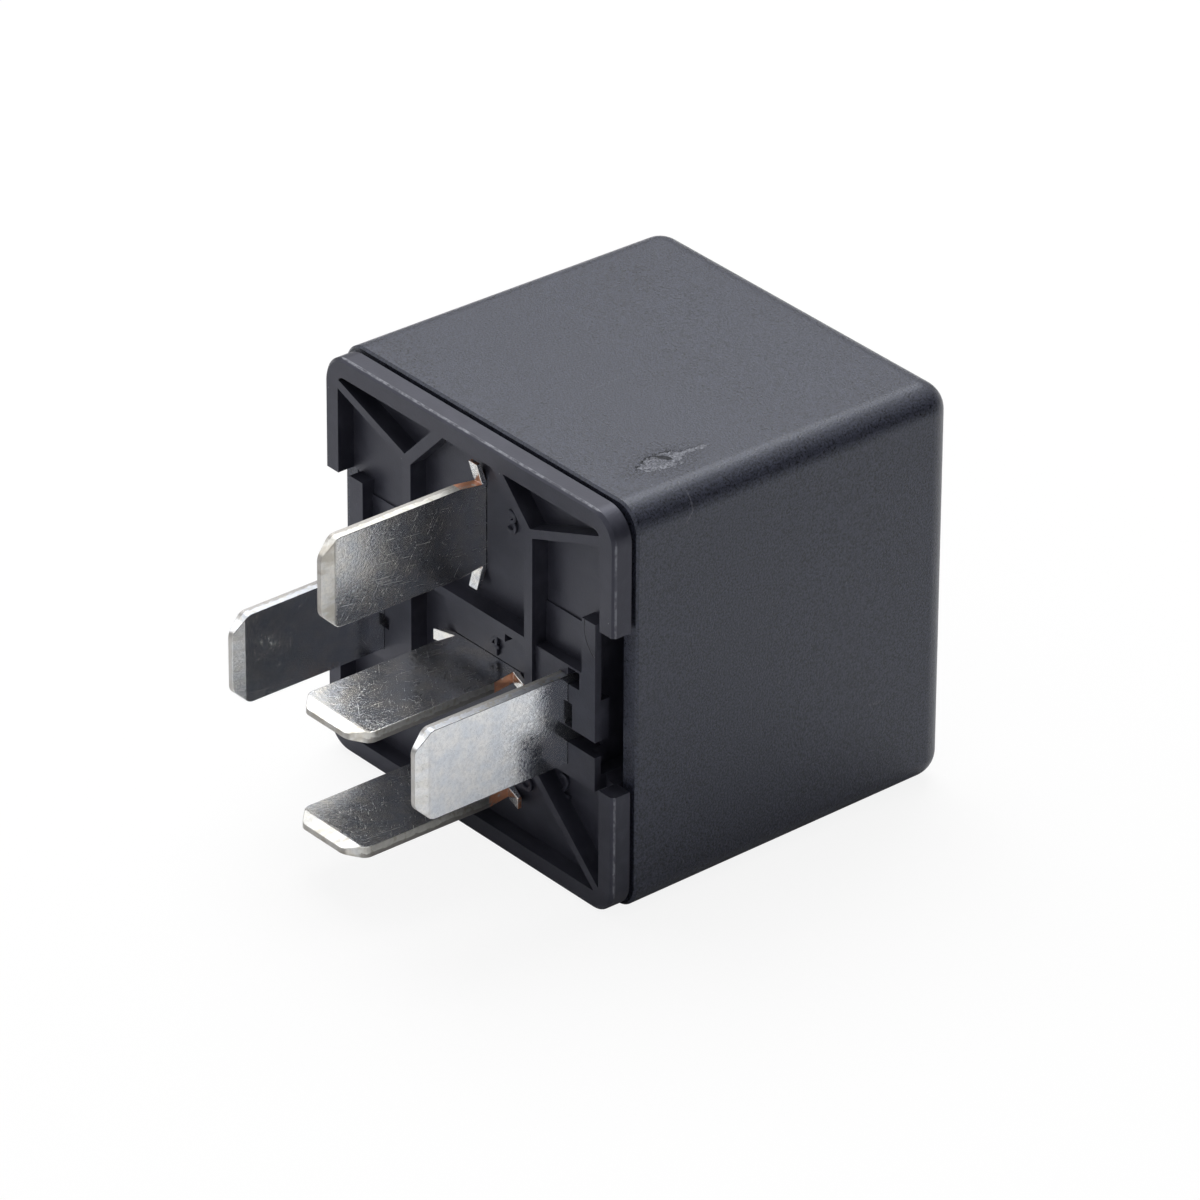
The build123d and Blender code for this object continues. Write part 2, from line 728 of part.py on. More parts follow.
def make_closed_contact():
    """The normally closed contact, riveted to terminal 87a's tab."""
    piece = disc(contact_radius, closed_contact_face, closed_tab_back, 0, contact_z)
    return piece + disc(contact_shank_radius, closed_tab_back, closed_tab_back + blade_thickness, 0, contact_z)


def make_yoke_rivets():
    """The two rivets that hold the spring's foot on the yoke."""
    rivets = []
    for x in (-rivet_spacing / 2, rivet_spacing / 2):
        top = yoke_outside_z + spring_thickness
        shank = Pos(x, spring_rivet_y(), (yoke_inside_z + top) / 2) * Cylinder(rivet_radius, top - yoke_inside_z)
        head = Pos(x, spring_rivet_y(), top + rivet_head / 2) * Cylinder(rivet_head_radius, rivet_head)
        rivets.append(shank + head)
    return Compound(rivets)


def make_armature_rivets():
    """The two rivets that hold the spring on the armature, staked flush on the pole side."""
    rivets = []
    for x, z in armature_rivet_places():
        top = spring_face + spring_thickness
        head = disc(rivet_head_radius, top, top + rivet_head, x, z)
        rivets.append(released(disc(rivet_radius, armature_face, top, x, z) + head))
    return Compound(rivets)


def make_lead(side):
    """One coil lead, drawn straight from where it leaves the winding to the solder on its post."""
    run = winding_radius + wire_radius
    end = (side * coil_blade_x, coil_blade_z - post_height / 2 - solder_wall)
    fall = coil_axis_z - end[1]
    span = math.hypot(coil_blade_x, fall)
    turn = math.atan2(fall, coil_blade_x) + math.acos(run / span)
    start = (side * run * math.cos(turn), coil_axis_z - run * math.sin(turn))
    near = bobbin_start + bobbin_flange_thickness
    path = Line((start[0], near + 2 * wire_radius, start[1]), (end[0], near + solder_length / 2, end[1]))
    return sweep(Plane(origin=path @ 0, z_dir=path % 0) * Circle(wire_radius), path=path)


def make_solder():
    """The solder collars round the posts, which hold the ends of the leads."""
    collars = []
    for side in (-1, 1):
        x = side * coil_blade_x
        front = bobbin_start + bobbin_flange_thickness
        reach_x = blade_thickness / 2 + solder_wall
        reach_z = post_height / 2 + solder_wall
        collar = block(
            (x - reach_x, x + reach_x), (front, front + solder_length),
            (coil_blade_z - reach_z, coil_blade_z + reach_z))
        collar = chamfer(collar.edges().filter_by(Axis.Y), solder_wall / 2)
        collars.append(collar - make_coil_terminal(side))
    return Compound(collars)


def write(name, piece):
    """Moves a piece to its resting place and writes it under its node's name."""
    middle = (cap_end - blade_reach) / 2
    export_step(Pos(0, -middle, cap_side / 2) * piece, f"parts/{name}.step")


pieces = {
    "cap": make_cap,
    "base": make_base,
    "terminal_30": make_terminal_30,
    "terminal_85": lambda: make_coil_terminal(1),
    "terminal_86": lambda: make_coil_terminal(-1),
    "terminal_87": make_terminal_87,
    "terminal_87a": make_terminal_87a,
    "yoke": make_yoke,
    "core": make_core,
    "bobbin": make_bobbin,
    "coil_winding": make_winding,
    "coil_lead_start": lambda: make_lead(-1),
    "coil_lead_end": lambda: make_lead(1),
    "solder_joints": make_solder,
    "armature": make_armature,
    "contact_spring": make_spring,
    "moving_contact": make_moving_contact,
    "normally_open_contact": make_open_contact,
    "normally_closed_contact": make_closed_contact,
    "spring_yoke_rivets": make_yoke_rivets,
    "spring_armature_rivets": make_armature_rivets,
}

os.makedirs("parts", exist_ok=True)
for name, make in pieces.items():
    write(name, make())
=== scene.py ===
"""Looks of a five-blade automotive changeover relay that lies on one side."""

import logging
import math
from dataclasses import dataclass, field
from enum import Enum
from typing import Any, Sequence

import bmesh
import bpy
from mathutils import Matrix, Vector


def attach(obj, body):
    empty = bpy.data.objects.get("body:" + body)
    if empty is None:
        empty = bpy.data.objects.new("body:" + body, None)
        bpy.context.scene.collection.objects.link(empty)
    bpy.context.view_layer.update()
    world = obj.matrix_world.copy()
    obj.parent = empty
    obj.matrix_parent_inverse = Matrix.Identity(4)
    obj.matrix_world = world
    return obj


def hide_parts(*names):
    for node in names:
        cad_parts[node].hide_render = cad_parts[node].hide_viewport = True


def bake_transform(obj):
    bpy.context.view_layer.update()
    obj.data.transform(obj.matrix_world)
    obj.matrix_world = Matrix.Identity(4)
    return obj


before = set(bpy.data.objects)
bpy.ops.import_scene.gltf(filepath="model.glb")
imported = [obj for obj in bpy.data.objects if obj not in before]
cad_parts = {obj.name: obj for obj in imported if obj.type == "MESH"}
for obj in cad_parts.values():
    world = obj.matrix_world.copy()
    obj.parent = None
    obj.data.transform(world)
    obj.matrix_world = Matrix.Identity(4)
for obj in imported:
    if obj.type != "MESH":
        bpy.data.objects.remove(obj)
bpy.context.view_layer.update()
log = logging.getLogger("relay")

Shade = tuple[float, float, float]

MM = 0.001
FRONT_MIDDLE = Vector((0.0, -8.025, 14.35))
LAMP_TARGET = Vector((0.0, 0.0, 0.014))

SHARP_ANGLE = 28.0
CRISP_ANGLE = 6.0
ROUNDED_ANGLE = 40.0
FLAT_ANGLE = 0.4
THROUGH_SHARE = 0.8


def at(x: float, y: float, z: float) -> Vector:
    """Turns a place measured from the middle of the base's front into the part's frame.

    Args:
        x: Millimetres towards terminal 85.
        y: Millimetres towards the cap's closed end.
        z: Millimetres up.

    Returns:
        The same place in metres, in the frame of the whole part.
    """
    return (Vector((x, y, z)) + FRONT_MIDDLE) * MM


# Node trees


class NodeKit:
    """Adds nodes to one tree and links them."""

    def __init__(self, tree: bpy.types.NodeTree) -> None:
        """Keeps the tree that the nodes go into.

        Args:
            tree: An empty shader or geometry tree.
        """
        self.tree = tree

    def add(
        self,
        kind: str,
        settings: dict[str, Any] | None = None,
        sockets: dict[int | str, Any] | None = None,
    ) -> bpy.types.Node:
        """Adds one node, sets its options first and then its sockets.

        Args:
            kind: The node's type.
            settings: Its options by name.
            sockets: Values or links by the socket's name or number.

        Returns:
            The new node.
        """
        node = self.tree.nodes.new(kind)
        for key, value in (settings or {}).items():
            setattr(node, key, value)
        for key, value in (sockets or {}).items():
            socket = node.inputs[key]
            if isinstance(value, Signal):
                self.tree.links.new(value.socket, socket)
            elif isinstance(value, bpy.types.NodeSocket):
                self.tree.links.new(value, socket)
            elif socket.type == "RGBA" and len(value) == 3:
                socket.default_value = (*value, 1.0)
            else:
                socket.default_value = value
        return node


class Signal:
    """A number that runs through a tree. Arithmetic on it adds Math nodes."""

    def __init__(self, kit: NodeKit, socket: bpy.types.NodeSocket) -> None:
        """Wraps one output socket.

        Args:
            socket: The output that carries the number.
        """
        self.kit = kit
        self.socket = socket

    def maths(self, operation: str, *values: "Signal | float") -> "Signal":
        """Adds one Math node.

        Args:
            operation: What the node works out.
            values: Its operands in order.

        Returns:
            The node's result.
        """
        node = self.kit.add("ShaderNodeMath", {"operation": operation}, dict(enumerate(values)))
        return Signal(self.kit, node.outputs[0])

    def __add__(self, other: "Signal | float") -> "Signal":
        """Adds."""
        return self.maths("ADD", self, other)

    def __radd__(self, other: float) -> "Signal":
        """Adds to a plain number."""
        return self.maths("ADD", other, self)

    def __sub__(self, other: "Signal | float") -> "Signal":
        """Subtracts."""
        return self.maths("SUBTRACT", self, other)

    def __rsub__(self, other: float) -> "Signal":
        """Subtracts from a plain number."""
        return self.maths("SUBTRACT", other, self)

    def __mul__(self, other: "Signal | float") -> "Signal":
        """Multiplies."""
        return self.maths("MULTIPLY", self, other)

    def __rmul__(self, other: float) -> "Signal":
        """Multiplies a plain number."""
        return self.maths("MULTIPLY", other, self)

    def __truediv__(self, other: "Signal | float") -> "Signal":
        """Divides."""
        return self.maths("DIVIDE", self, other)

    def __abs__(self) -> "Signal":
        """Drops the sign."""
        return self.maths("ABSOLUTE", self)

    def larger(self, other: "Signal | float") -> "Signal":
        """Gives the larger of two numbers."""
        return self.maths("MAXIMUM", self, other)

    def smaller(self, other: "Signal | float") -> "Signal":
        """Gives the smaller of two numbers."""
        return self.maths("MINIMUM", self, other)

    def root(self) -> "Signal":
        """Gives the square root."""
        return self.maths("SQRT", self)

    def rise(self, low: float, high: float) -> "Signal":
        """Climbs smoothly from 0 at one value to 1 at another.

        Args:
            low: Where the result is 0.
            high: Where the result is 1. It may be the smaller of the two.

        Returns:
            A mask from 0 to 1.
        """
        node = self.kit.add(
            "ShaderNodeMapRange",
            {"interpolation_type": "SMOOTHSTEP", "clamp": True},
            {"Value": self, "From Min": low, "From Max": high},
        )
        return Signal(self.kit, node.outputs[0])

    def spread(self, low: float, high: float) -> "Signal":
        """Stretches a number from 0 to 1 over another range.

        Args:
            low: The result at 0.
            high: The result at 1.

        Returns:
            The stretched number.
        """
        return self * (high - low) + low


@dataclass(frozen=True)
class Place:
    """Where a point of the surface is, in millimetres from the middle of the base's front."""

    point: bpy.types.NodeSocket
    x: Signal
    y: Signal
    z: Signal
    facing_x: Signal
    facing_y: Signal
    facing_z: Signal

    def distance_xz(self, x: float, z: float) -> Signal:
        """Gives how far the point is from a line along Y.

        Args:
            x: The line's place in X.
            z: The line's place in Z.

        Returns:
            The distance in millimetres.
        """
        across, up = self.x - x, self.z - z
        return (across * across + up * up).root()


class ShaderKit(NodeKit):
    """Adds the patterns that the finishes are painted with."""

    @classmethod
    def of(cls, owner: bpy.types.Material | bpy.types.World) -> "ShaderKit":
        """Empties the tree of a material or a world, and starts a kit for it.

        Args:
            owner: The material or the world.
        """
        owner.use_nodes = True
        owner.node_tree.nodes.clear()
        return cls(owner.node_tree)

    def place(self) -> Place:
        """Reads the surface's own coordinates.

        Returns:
            The point in millimetres, its parts, and the parts of the surface's direction.
        """
        source = self.add("ShaderNodeTexCoord")
        scaled = self.add(
            "ShaderNodeVectorMath",
            {"operation": "MULTIPLY_ADD"},
            {0: source.outputs["Object"], 1: (1.0 / MM,) * 3, 2: tuple(-FRONT_MIDDLE)},
        ).outputs[0]
        parts = self.add("ShaderNodeSeparateXYZ", sockets={0: scaled}).outputs
        facing = self.add("ShaderNodeSeparateXYZ", sockets={0: source.outputs["Normal"]}).outputs
        return Place(scaled, *(Signal(self, s) for s in (*parts, *facing)))

    def stretched(
        self, vector: bpy.types.NodeSocket, scale: Sequence[float]
    ) -> bpy.types.NodeSocket:
        """Scales a point differently along each axis.

        Args:
            vector: The point.
            scale: The factor for each axis.

        Returns:
            The scaled point.
        """
        sockets = {0: vector, 1: tuple(scale)}
        return self.add("ShaderNodeVectorMath", {"operation": "MULTIPLY"}, sockets).outputs[0]

    def turned(
        self, vector: bpy.types.NodeSocket, axis: Sequence[float], angle: float
    ) -> bpy.types.NodeSocket:
        """Turns a point about an axis through the origin.

        Args:
            vector: The point.
            axis: The axis.
            angle: The angle in radians.

        Returns:
            The turned point.
        """
        sockets = {"Vector": vector, "Axis": tuple(axis), "Angle": angle}
        return self.add("ShaderNodeVectorRotate", {"rotation_type": "AXIS_ANGLE"}, sockets).outputs[0]

    def noise(
        self,
        vector: bpy.types.NodeSocket,
        scale: float | Sequence[float],
        detail: float = 2.0,
        roughness: float = 0.5,
    ) -> Signal:
        """Adds cloudy noise.

        Args:
            vector: Where the noise is read, in millimetres.
            scale: Lumps in a millimetre, as one number or as one for each axis.
            detail: How many finer layers are added.
            roughness: How strong the finer layers are.

        Returns:
            The noise, about 0.5 in the middle.
        """
        if not isinstance(scale, float):
            vector, scale = self.stretched(vector, scale), 1.0
        node = self.add(
            "ShaderNodeTexNoise",
            {"noise_dimensions": "3D"},
            {"Vector": vector, "Scale": scale, "Detail": detail, "Roughness": roughness},
        )
        return Signal(self, node.outputs[0])

    def pits(self, vector: bpy.types.NodeSocket, scale: float, size: float) -> Signal:
        """Adds scattered round spots.

        Args:
            vector: Where the pattern is read, in millimetres.
            scale: Spots in a millimetre.
            size: A spot's radius as a share of the spacing.

        Returns:
            A mask that is 1 in the middle of each spot.
        """
        sockets = {"Vector": vector, "Scale": scale}
        node = self.add("ShaderNodeTexVoronoi", {"feature": "F1"}, sockets)
        return Signal(self, node.outputs["Distance"]).rise(size, size * 0.4)

    def scratches(
        self, vector: bpy.types.NodeSocket, scale: Sequence[float], edge: float, width: float = 0.02
    ) -> Signal:
        """Adds fine lines, drawn out along the axis with the smallest scale.

        Args:
            vector: Where the pattern is read, in millimetres.
            scale: Lumps in a millimetre for each axis.
            edge: The noise above which a line shows. A higher edge gives fewer lines.
            width: How softly a line starts.

        Returns:
            A mask that is 1 on the lines.
        """
        return self.noise(vector, scale, 3.0, 0.6).rise(edge, edge + width)

    def tinted(self, first: Any, second: Any, share: Signal | float) -> bpy.types.NodeSocket:
        """Mixes two colours.

        Args:
            first: The colour at 0.
            second: The colour at 1.
            share: How much of the second colour there is.

        Returns:
            The mixed colour.
        """
        sockets = {0: share, 6: first, 7: second}
        return self.add("ShaderNodeMix", {"data_type": "RGBA"}, sockets).outputs[2]

    def relief(self, height: Signal, depth: float) -> bpy.types.NodeSocket:
        """Turns a height into a slope of the surface.

        Args:
            height: The height from 0 to 1.
            depth: What a height of 1 stands for, in millimetres.

        Returns:
            The surface's direction.
        """
        sockets = {"Height": height, "Distance": depth * MM, "Strength": 1.0}
        return self.add("ShaderNodeBump", {}, sockets).outputs[0]


# Finishes

COIL_BLADE_TONES: dict[str, Any] = {
    "edge_dull": (0.40, 0.42, 0.46),
    "edge_bright": (0.70, 0.72, 0.76),
    "tip_wear": 0.5,
    "dull_low": 0.05,
    "dull_high": 0.09,
    "skin_cool": (0.80, 0.84, 0.90),
    "skin_warm": (0.95, 0.95, 0.95),
}


@dataclass(frozen=True)
class Finish:
    """A surface finish: its material's name and the record's slot."""

    name: str
    slot: str

    def material(self) -> bpy.types.Material:
        """Gives the finish's material, and makes it the first time.

        Returns:
            The material.
        """
        known = bpy.data.materials.get(self.name)
        if known is not None:
            return known
        material = bpy.data.materials.new(self.name)
        kit = ShaderKit.of(material)
        shader = kit.add("ShaderNodeBsdfPrincipled", {}, self.paint(kit, kit.place()))
        kit.add("ShaderNodeOutputMaterial", {}, {"Surface": shader.outputs[0]})
        return material

    def paint(self, kit: ShaderKit, place: Place) -> dict[int | str, Any]:
        """Paints the finish.

        Args:
            place: Where the surface is.

        Returns:
            The shader's sockets by name.
        """
        raise NotImplementedError


@dataclass(frozen=True)
class CapPlastic(Finish):
    """Matt dark grey plastic with a spark-eroded grain, a gate mark and a few handling marks."""

    name: str = "cap_plastic_grained"
    slot: str = "cap_plastic"
    colour: Shade = (0.038, 0.041, 0.062)
    scuffed: Shade = (0.42, 0.43, 0.48)
    sheen: Shade = (0.85, 0.90, 1.0)
    top: float = 13.0
    gate_x: float = 10.4
    gate_y: float = 7.0
    gate_length: float = 2.0
    gate_width: float = 0.95
    crack_radius: float = 0.65
    chips_x: float = 12.0
    chips_y: float = 4.6
    hair_y: float = 6.2
    hair_low: float = 11.9
    hair_side: float = 13.2
    brightest: float = 1.7
    relief_depth: float = 0.010

    def paint(self, kit: ShaderKit, place: Place) -> dict[int | str, Any]:
        """Paints grain, faint clouds, the gate mark near the mouth and thin scratches.

        Args:
            place: Where the surface is.

        Returns:
            The shader's sockets by name.
        """
        point = place.point
        grain = kit.noise(point, 7.0, 2.0, 0.7).rise(0.28, 0.72)
        fine = kit.noise(point, 12.0, 1.0).rise(0.25, 0.75)
        clouds = kit.noise(point, 0.22, 3.0)
        on_top = place.z.rise(self.top - 0.5, self.top)
        across, along = place.x - self.gate_x, place.y - self.gate_y
        ragged = kit.noise(point, 2.6, 4.0, 0.65) - 0.5
        length, width = along / self.gate_length, abs(across) / self.gate_width
        lens = 1.0 - length * length - width + ragged * 2.6
        tail = 1.0 - abs(across * 3.4 - along * 0.35 + 0.7) + ragged * 2.0
        tail = tail * along.rise(0.9, 1.3)
        lens = lens.larger(tail * along.rise(3.6, 3.0) - 0.2)
        halo = 1.0 - length * length * 0.24 - width * 0.34 + ragged * 1.4
        torn = lens.rise(0.0, 0.10) * on_top
        rubbed = halo.rise(0.0, 0.7) * on_top * (1.0 - torn)
        folds = kit.noise(point, (4.0, 2.4, 4.0), 5.0, 0.75).rise(0.36, 0.62)
        bow_x, bow_y = across - 0.1, along + 0.2
        bow = abs((bow_x * bow_x + bow_y * bow_y).root() - self.crack_radius).rise(0.24, 0.10)
        bow = bow * along.rise(-0.05, 0.10) * across.rise(0.22, 0.05)
        rim = (1.0 - abs(lens - 0.04).rise(0.02, 0.10)) * across.rise(0.0, -0.2)
        cracks = ((rim + bow * 2.0) * on_top).smaller(1.0)
        chips = kit.pits(point, 2.8, 0.16) * abs(place.x - self.chips_x).rise(0.7, 0.3)
        chips = chips * abs(place.y - self.chips_y).rise(1.4, 0.8) * on_top
        flakes = (torn * folds.spread(0.25, 1.5) + chips) * (1.0 - cracks)
        lines = kit.scratches(point, (2.6, 0.12, 0.5), 0.71)
        lines = lines + kit.scratches(point, (0.1, 2.2, 0.6), 0.72)
        bend = place.y - self.hair_y + 0.5 * place.z.rise(self.hair_low + 1.0, self.hair_low + 0.2)
        hair = abs(bend).rise(0.08, 0.02) * place.z.rise(self.hair_low, self.hair_low + 0.3)
        hair = hair * place.x.rise(self.hair_side, self.hair_side + 0.3)
        shade = clouds.spread(0.90, 1.10) * grain.spread(0.15, 1.85)
        shade = shade * (1.0 - 0.1 * rubbed - 0.85 * cracks)
        pale = (0.95 * flakes + 0.12 * lines + 0.25 * hair).smaller(1.0)
        bright = tuple(3.0 * part for part in self.colour)
        full = kit.tinted(kit.tinted(self.colour, self.scuffed, pale), bright, fine * 0.35)
        height = grain + fine * 0.4 - rubbed * grain * 0.8 + torn * folds * 4.0
        height = height - cracks * 10.0 - hair * 2.0
        lit = shade.smaller(self.brightest) / self.brightest
        return {
            "Base Color": kit.tinted((0.0, 0.0, 0.0), full, lit),
            "Roughness": grain.spread(0.24, 0.34) - 0.06 * rubbed + 0.2 * flakes + 0.06 * clouds,
            "Normal": kit.relief(height, self.relief_depth),
            "Specular Tint": self.sheen,
            "IOR": 1.5,
        }


@dataclass(frozen=True)
class BasePlastic(Finish):
    """Near-black glossy plastic, pale along the flange's front edge: wear and a painted highlight."""

    name: str = "base_plastic_moulded"
    slot: str = "base_plastic"
    colour: Shade = (0.021, 0.0215, 0.031)
    flow_colour: Shade = (0.034, 0.035, 0.047)
    # Near-black painted shade for the hairline groove beside the notch.
    groove_shade_colour: Shade = (0.001, 0.001, 0.001)
    # Pale tone of the flange's front edge: rubbed wear and a painted highlight.
    wear_and_edge_highlight_colour: Shade = (0.50, 0.51, 0.56)
    sheen: Shade = (0.80, 0.82, 1.0)
    flange_half: float = 14.2
    lit_from: float = 13.2
    groove_shade_x: float = 13.3
    groove_shade_z: float = 5.41
    groove_shade_radius: float = 2.23
    groove_shade_inner: float = 10.8
    groove_shade_outer: float = 12.1
    groove_shade_low: float = 3.4
    relief_depth: float = 0.014

    def paint(self, kit: ShaderKit, place: Place) -> dict[int | str, Any]:
        """Paints flow marks, dust in the cells, the worn edge with a painted highlight and painted shade
        in a groove beside the notch.

        Args:
            place: Where the surface is.

        Returns:
            The shader's sockets by name.
        """
        point = place.point
        flow = kit.noise(point, (0.5, 1.2, 0.8), 4.0)
        grain = kit.noise(point, 8.0, 2.0)
        square = abs(place.x).larger(abs(place.z))
        near = square.rise(self.flange_half - 0.12, self.flange_half - 0.05)
        front = place.y.rise(0.30, 0.20)
        broken = kit.noise(point, 0.45, 4.0, 0.65).rise(0.36, 0.50)
        ragged = kit.noise(point, (2.2, 6.0, 2.2), 3.0).rise(0.34, 0.62)
        # The pale edge line keeps to the lit top and right edges and is stronger on top: partly rubbed
        # wear, partly a painted highlight.
        lit_side = place.z.rise(self.lit_from, self.lit_from + 0.4)
        lit_side = (lit_side + place.x.rise(self.lit_from, self.lit_from + 0.4)).smaller(1.0)
        wear_and_edge_highlight = near * front * (0.25 + 0.75 * broken * ragged) * lit_side
        wear_and_edge_highlight = wear_and_edge_highlight * place.z.rise(self.lit_from, self.lit_from + 0.6).spread(1.0, 2.2)
        # An arc beside the notch: painted shade in a hairline groove, which the relief also cuts in.
        from_middle = place.distance_xz(self.groove_shade_x, self.groove_shade_z)
        groove_shade = abs(from_middle - self.groove_shade_radius).rise(0.06, 0.02)
        groove_shade = groove_shade * place.z.rise(self.groove_shade_low, self.groove_shade_low + 0.3)
        groove_shade = groove_shade * place.x.rise(self.groove_shade_outer, self.groove_shade_outer - 0.2)
        groove_shade = groove_shade * place.x.rise(self.groove_shade_inner, self.groove_shade_inner + 0.2)
        groove_shade = groove_shade * place.y.rise(0.5, 0.4)
        nicks = kit.pits(point, 1.3, 0.09) * kit.noise(point, 0.8, 2.0).rise(0.52, 0.6)
        dust = kit.pits(point, 2.4, 0.06) * kit.noise(point, 0.5, 1.0).rise(0.5, 0.62)
        pale = (wear_and_edge_highlight * 0.34 + nicks * front * 0.5 + dust * 0.20).smaller(1.0)
        colour = kit.tinted(self.colour, self.flow_colour, flow.rise(0.4, 0.75))
        # The groove's painted shade.
        colour = kit.tinted(colour, self.groove_shade_colour, groove_shade)
        height = grain * 0.6 + flow * 0.5 - groove_shade * 4.0
        return {
            "Base Color": kit.tinted(colour, self.wear_and_edge_highlight_colour, pale),
            "Roughness": flow.spread(0.26, 0.46) + 0.1 * grain + 0.2 * wear_and_edge_highlight,
            "Normal": kit.relief(height, self.relief_depth),
            "Specular Tint": self.sheen,
            "IOR": 1.5,
        }


@dataclass(frozen=True)
class TinnedSheet(Finish):
    """Tin-plated copper alloy: mottled skin, bright sheared edges, bare copper in the scoops."""

    name: str = "tinned_sheet"
    slot: str = "tinned_blade"
    middle: float = 0.0
    level: float = 0.0
    upright: bool = True
    staked: bool = True
    half_width: float = 3.15
    tip: float = -11.6
    bevel: float = 0.9
    scoop_start: float = -0.85
    scoop_end: float = 2.4
    tip_wear: float = 1.0
    dull_low: float = 0.13
    dull_high: float = 0.20
    skin_cool: Shade = (0.74, 0.77, 0.81)
    skin_warm: Shade = (0.90, 0.875, 0.82)
    edge_dull: Shade = (0.50, 0.49, 0.46)
    edge_bright: Shade = (0.80, 0.79, 0.755)
    speckled: Shade = (0.36, 0.38, 0.43)
    scratched: Shade = (0.86, 0.86, 0.86)
    tip_worn: Shade = (0.60, 0.57, 0.51)
    dashed: Shade = (0.46, 0.43, 0.36)
    fractured: Shade = (0.30, 0.285, 0.27)
    copper: Shade = (0.70, 0.36, 0.23)

    def paint(self, kit: ShaderKit, place: Place) -> dict[int | str, Any]:
        """Paints the skin, its scratches, the sheared edges, the tip and the copper.

        Args:
            place: Where the surface is.

        Returns:
            The shader's sockets by name.
        """
        across = abs((place.z if self.upright else place.x) - self.middle)
        turned = abs(place.facing_z if self.upright else place.facing_x)
        through = (place.x if self.upright else place.z) - self.level
        mottle = kit.noise(place.point, 0.8, 5.0, 0.62)
        speckle = kit.noise(place.point, 5.0, 3.0, 0.8).rise(0.42, 0.64)
        normal = (1.0, 0.0, 0.0) if self.upright else (0.0, 0.0, 1.0)
        drawn = kit.scratches(kit.turned(place.point, normal, 0.14), (11.0, 0.30, 11.0), 0.64, 0.08)
        curled = kit.noise(place.point, 1.7, 1.0, 0.4)
        curls = abs(curled - 0.5).rise(0.006, 0.002)
        curls = curls * kit.noise(place.point, 0.9, 1.0).rise(0.56, 0.66)
        over = (3.0, 12.0, 0.5) if self.upright else (0.5, 12.0, 3.0)
        falling = kit.turned(place.point, normal, 0.6)
        rising = kit.turned(place.point, normal, -0.75)
        crossed = kit.scratches(falling, over, 0.63, 0.08) * 0.7 + curls
        crossed = crossed + kit.scratches(rising, over, 0.65, 0.08) * 0.6
        specks = kit.pits(place.point, 3.4, 0.13) * kit.noise(place.point, 1.1, 2.0).rise(0.42, 0.6)
        sheared = turned.rise(0.6, 0.8) * across.rise(self.half_width - 0.5, self.half_width - 0.3)
        cropped = place.facing_y.rise(-0.6, -0.85) * place.y.rise(self.tip + 0.3, self.tip + 0.1)
        torn = kit.noise(place.point, (5.0, 1.6, 5.0), 3.0) * 0.5 - 0.25
        fracture = (through + torn).rise(-0.04, -0.12) * sheared
        dashes = kit.scratches(place.point, (2.0, 3.4, 2.0), 0.56, 0.05) * sheared
        tip = place.y.rise(self.tip + self.bevel + 0.3, self.tip + self.bevel - 0.1) * self.tip_wear
        along_blade = kit.stretched(place.point, (1.0, 0.3, 1.0))
        burnished = kit.noise(along_blade, 1.6, 4.0).rise(0.42, 0.66)
        skin = kit.tinted(self.skin_cool, self.skin_warm, mottle.rise(0.3, 0.7))
        skin = kit.tinted(skin, self.speckled, speckle * 0.28)
        skin = kit.tinted(skin, self.scratched, ((drawn + crossed + specks) * 0.18).smaller(1.0))
        skin = kit.tinted(skin, self.tip_worn, tip * burnished.spread(0.35, 0.95))
        grey = kit.tinted(self.edge_dull, self.edge_bright, kit.noise(place.point, 3.0, 3.0))
        skin = kit.tinted(skin, grey, sheared)
        skin = kit.tinted(skin, self.dashed, dashes * 0.6)
        skin = kit.tinted(skin, self.fractured, (fracture * 0.85 + cropped * 0.7).smaller(1.0))
        marks = drawn + crossed + specks
        rough = mottle.spread(self.dull_low, self.dull_high) + 0.08 * speckle + 0.13 * marks
        rough = rough + burnished.spread(0.16, 0.30) * tip
        rough = rough * (1.0 - sheared) + sheared * 0.38 + 0.14 * (fracture + cropped)
        if self.staked:
            cut = turned.rise(0.55, 0.75) * place.y.rise(self.scoop_start, self.scoop_start + 0.12)
            back = place.facing_y.rise(0.3, 0.6) * place.y.rise(-1.0, -0.6)
            scooped = (cut + back).smaller(1.0) * place.y.rise(self.scoop_end, self.scoop_end - 0.3)
            bare = scooped * kit.noise(place.point, 2.2, 3.0).rise(0.30, 0.48)
            skin = kit.tinted(skin, self.copper, bare)
            rough = rough + 0.12 * bare
        rippled = kit.noise(place.point, (3.5, 7.0, 3.5), 3.0)
        height = speckle * 0.42 + mottle * 0.6 - drawn * 0.2 - crossed * 0.3 + specks * 0.6
        height = height + sheared * rippled * 2.2
        return {
            "Base Color": skin,
            "Metallic": 0.96,
            "Roughness": rough,
            "Normal": kit.relief(height, 0.006),
        }


@dataclass(frozen=True)
class PlatedIron(Finish):
    """Zinc-plated soft iron, dull and slightly yellow where the plating is thick."""

    name: str = "plated_iron"
    slot: str = "plated_iron"
    dull: Shade = (0.50, 0.50, 0.49)
    bright: Shade = (0.72, 0.71, 0.67)
    tint: Shade = (0.60, 0.56, 0.45)

    def paint(self, kit: ShaderKit, place: Place) -> dict[int | str, Any]:
        """Paints a mottled plating with stamping lines.

        Args:
            place: Where the surface is.

        Returns:
            The shader's sockets by name.
        """
        mottle = kit.noise(place.point, 1.1, 5.0, 0.6)
        grain = kit.noise(place.point, 12.0, 2.0)
        rolled = kit.noise(place.point, (12.0, 0.6, 0.6), 2.0)
        skin = kit.tinted(self.dull, self.bright, mottle.rise(0.3, 0.7))
        return {
            "Base Color": kit.tinted(skin, self.tint, grain.rise(0.6, 0.75) * 0.4),
            "Metallic": 1.0,
            "Roughness": mottle.spread(0.28, 0.46) + 0.1 * rolled,
            "Normal": kit.relief(grain * 0.6 + rolled * 0.4, 0.010),
        }


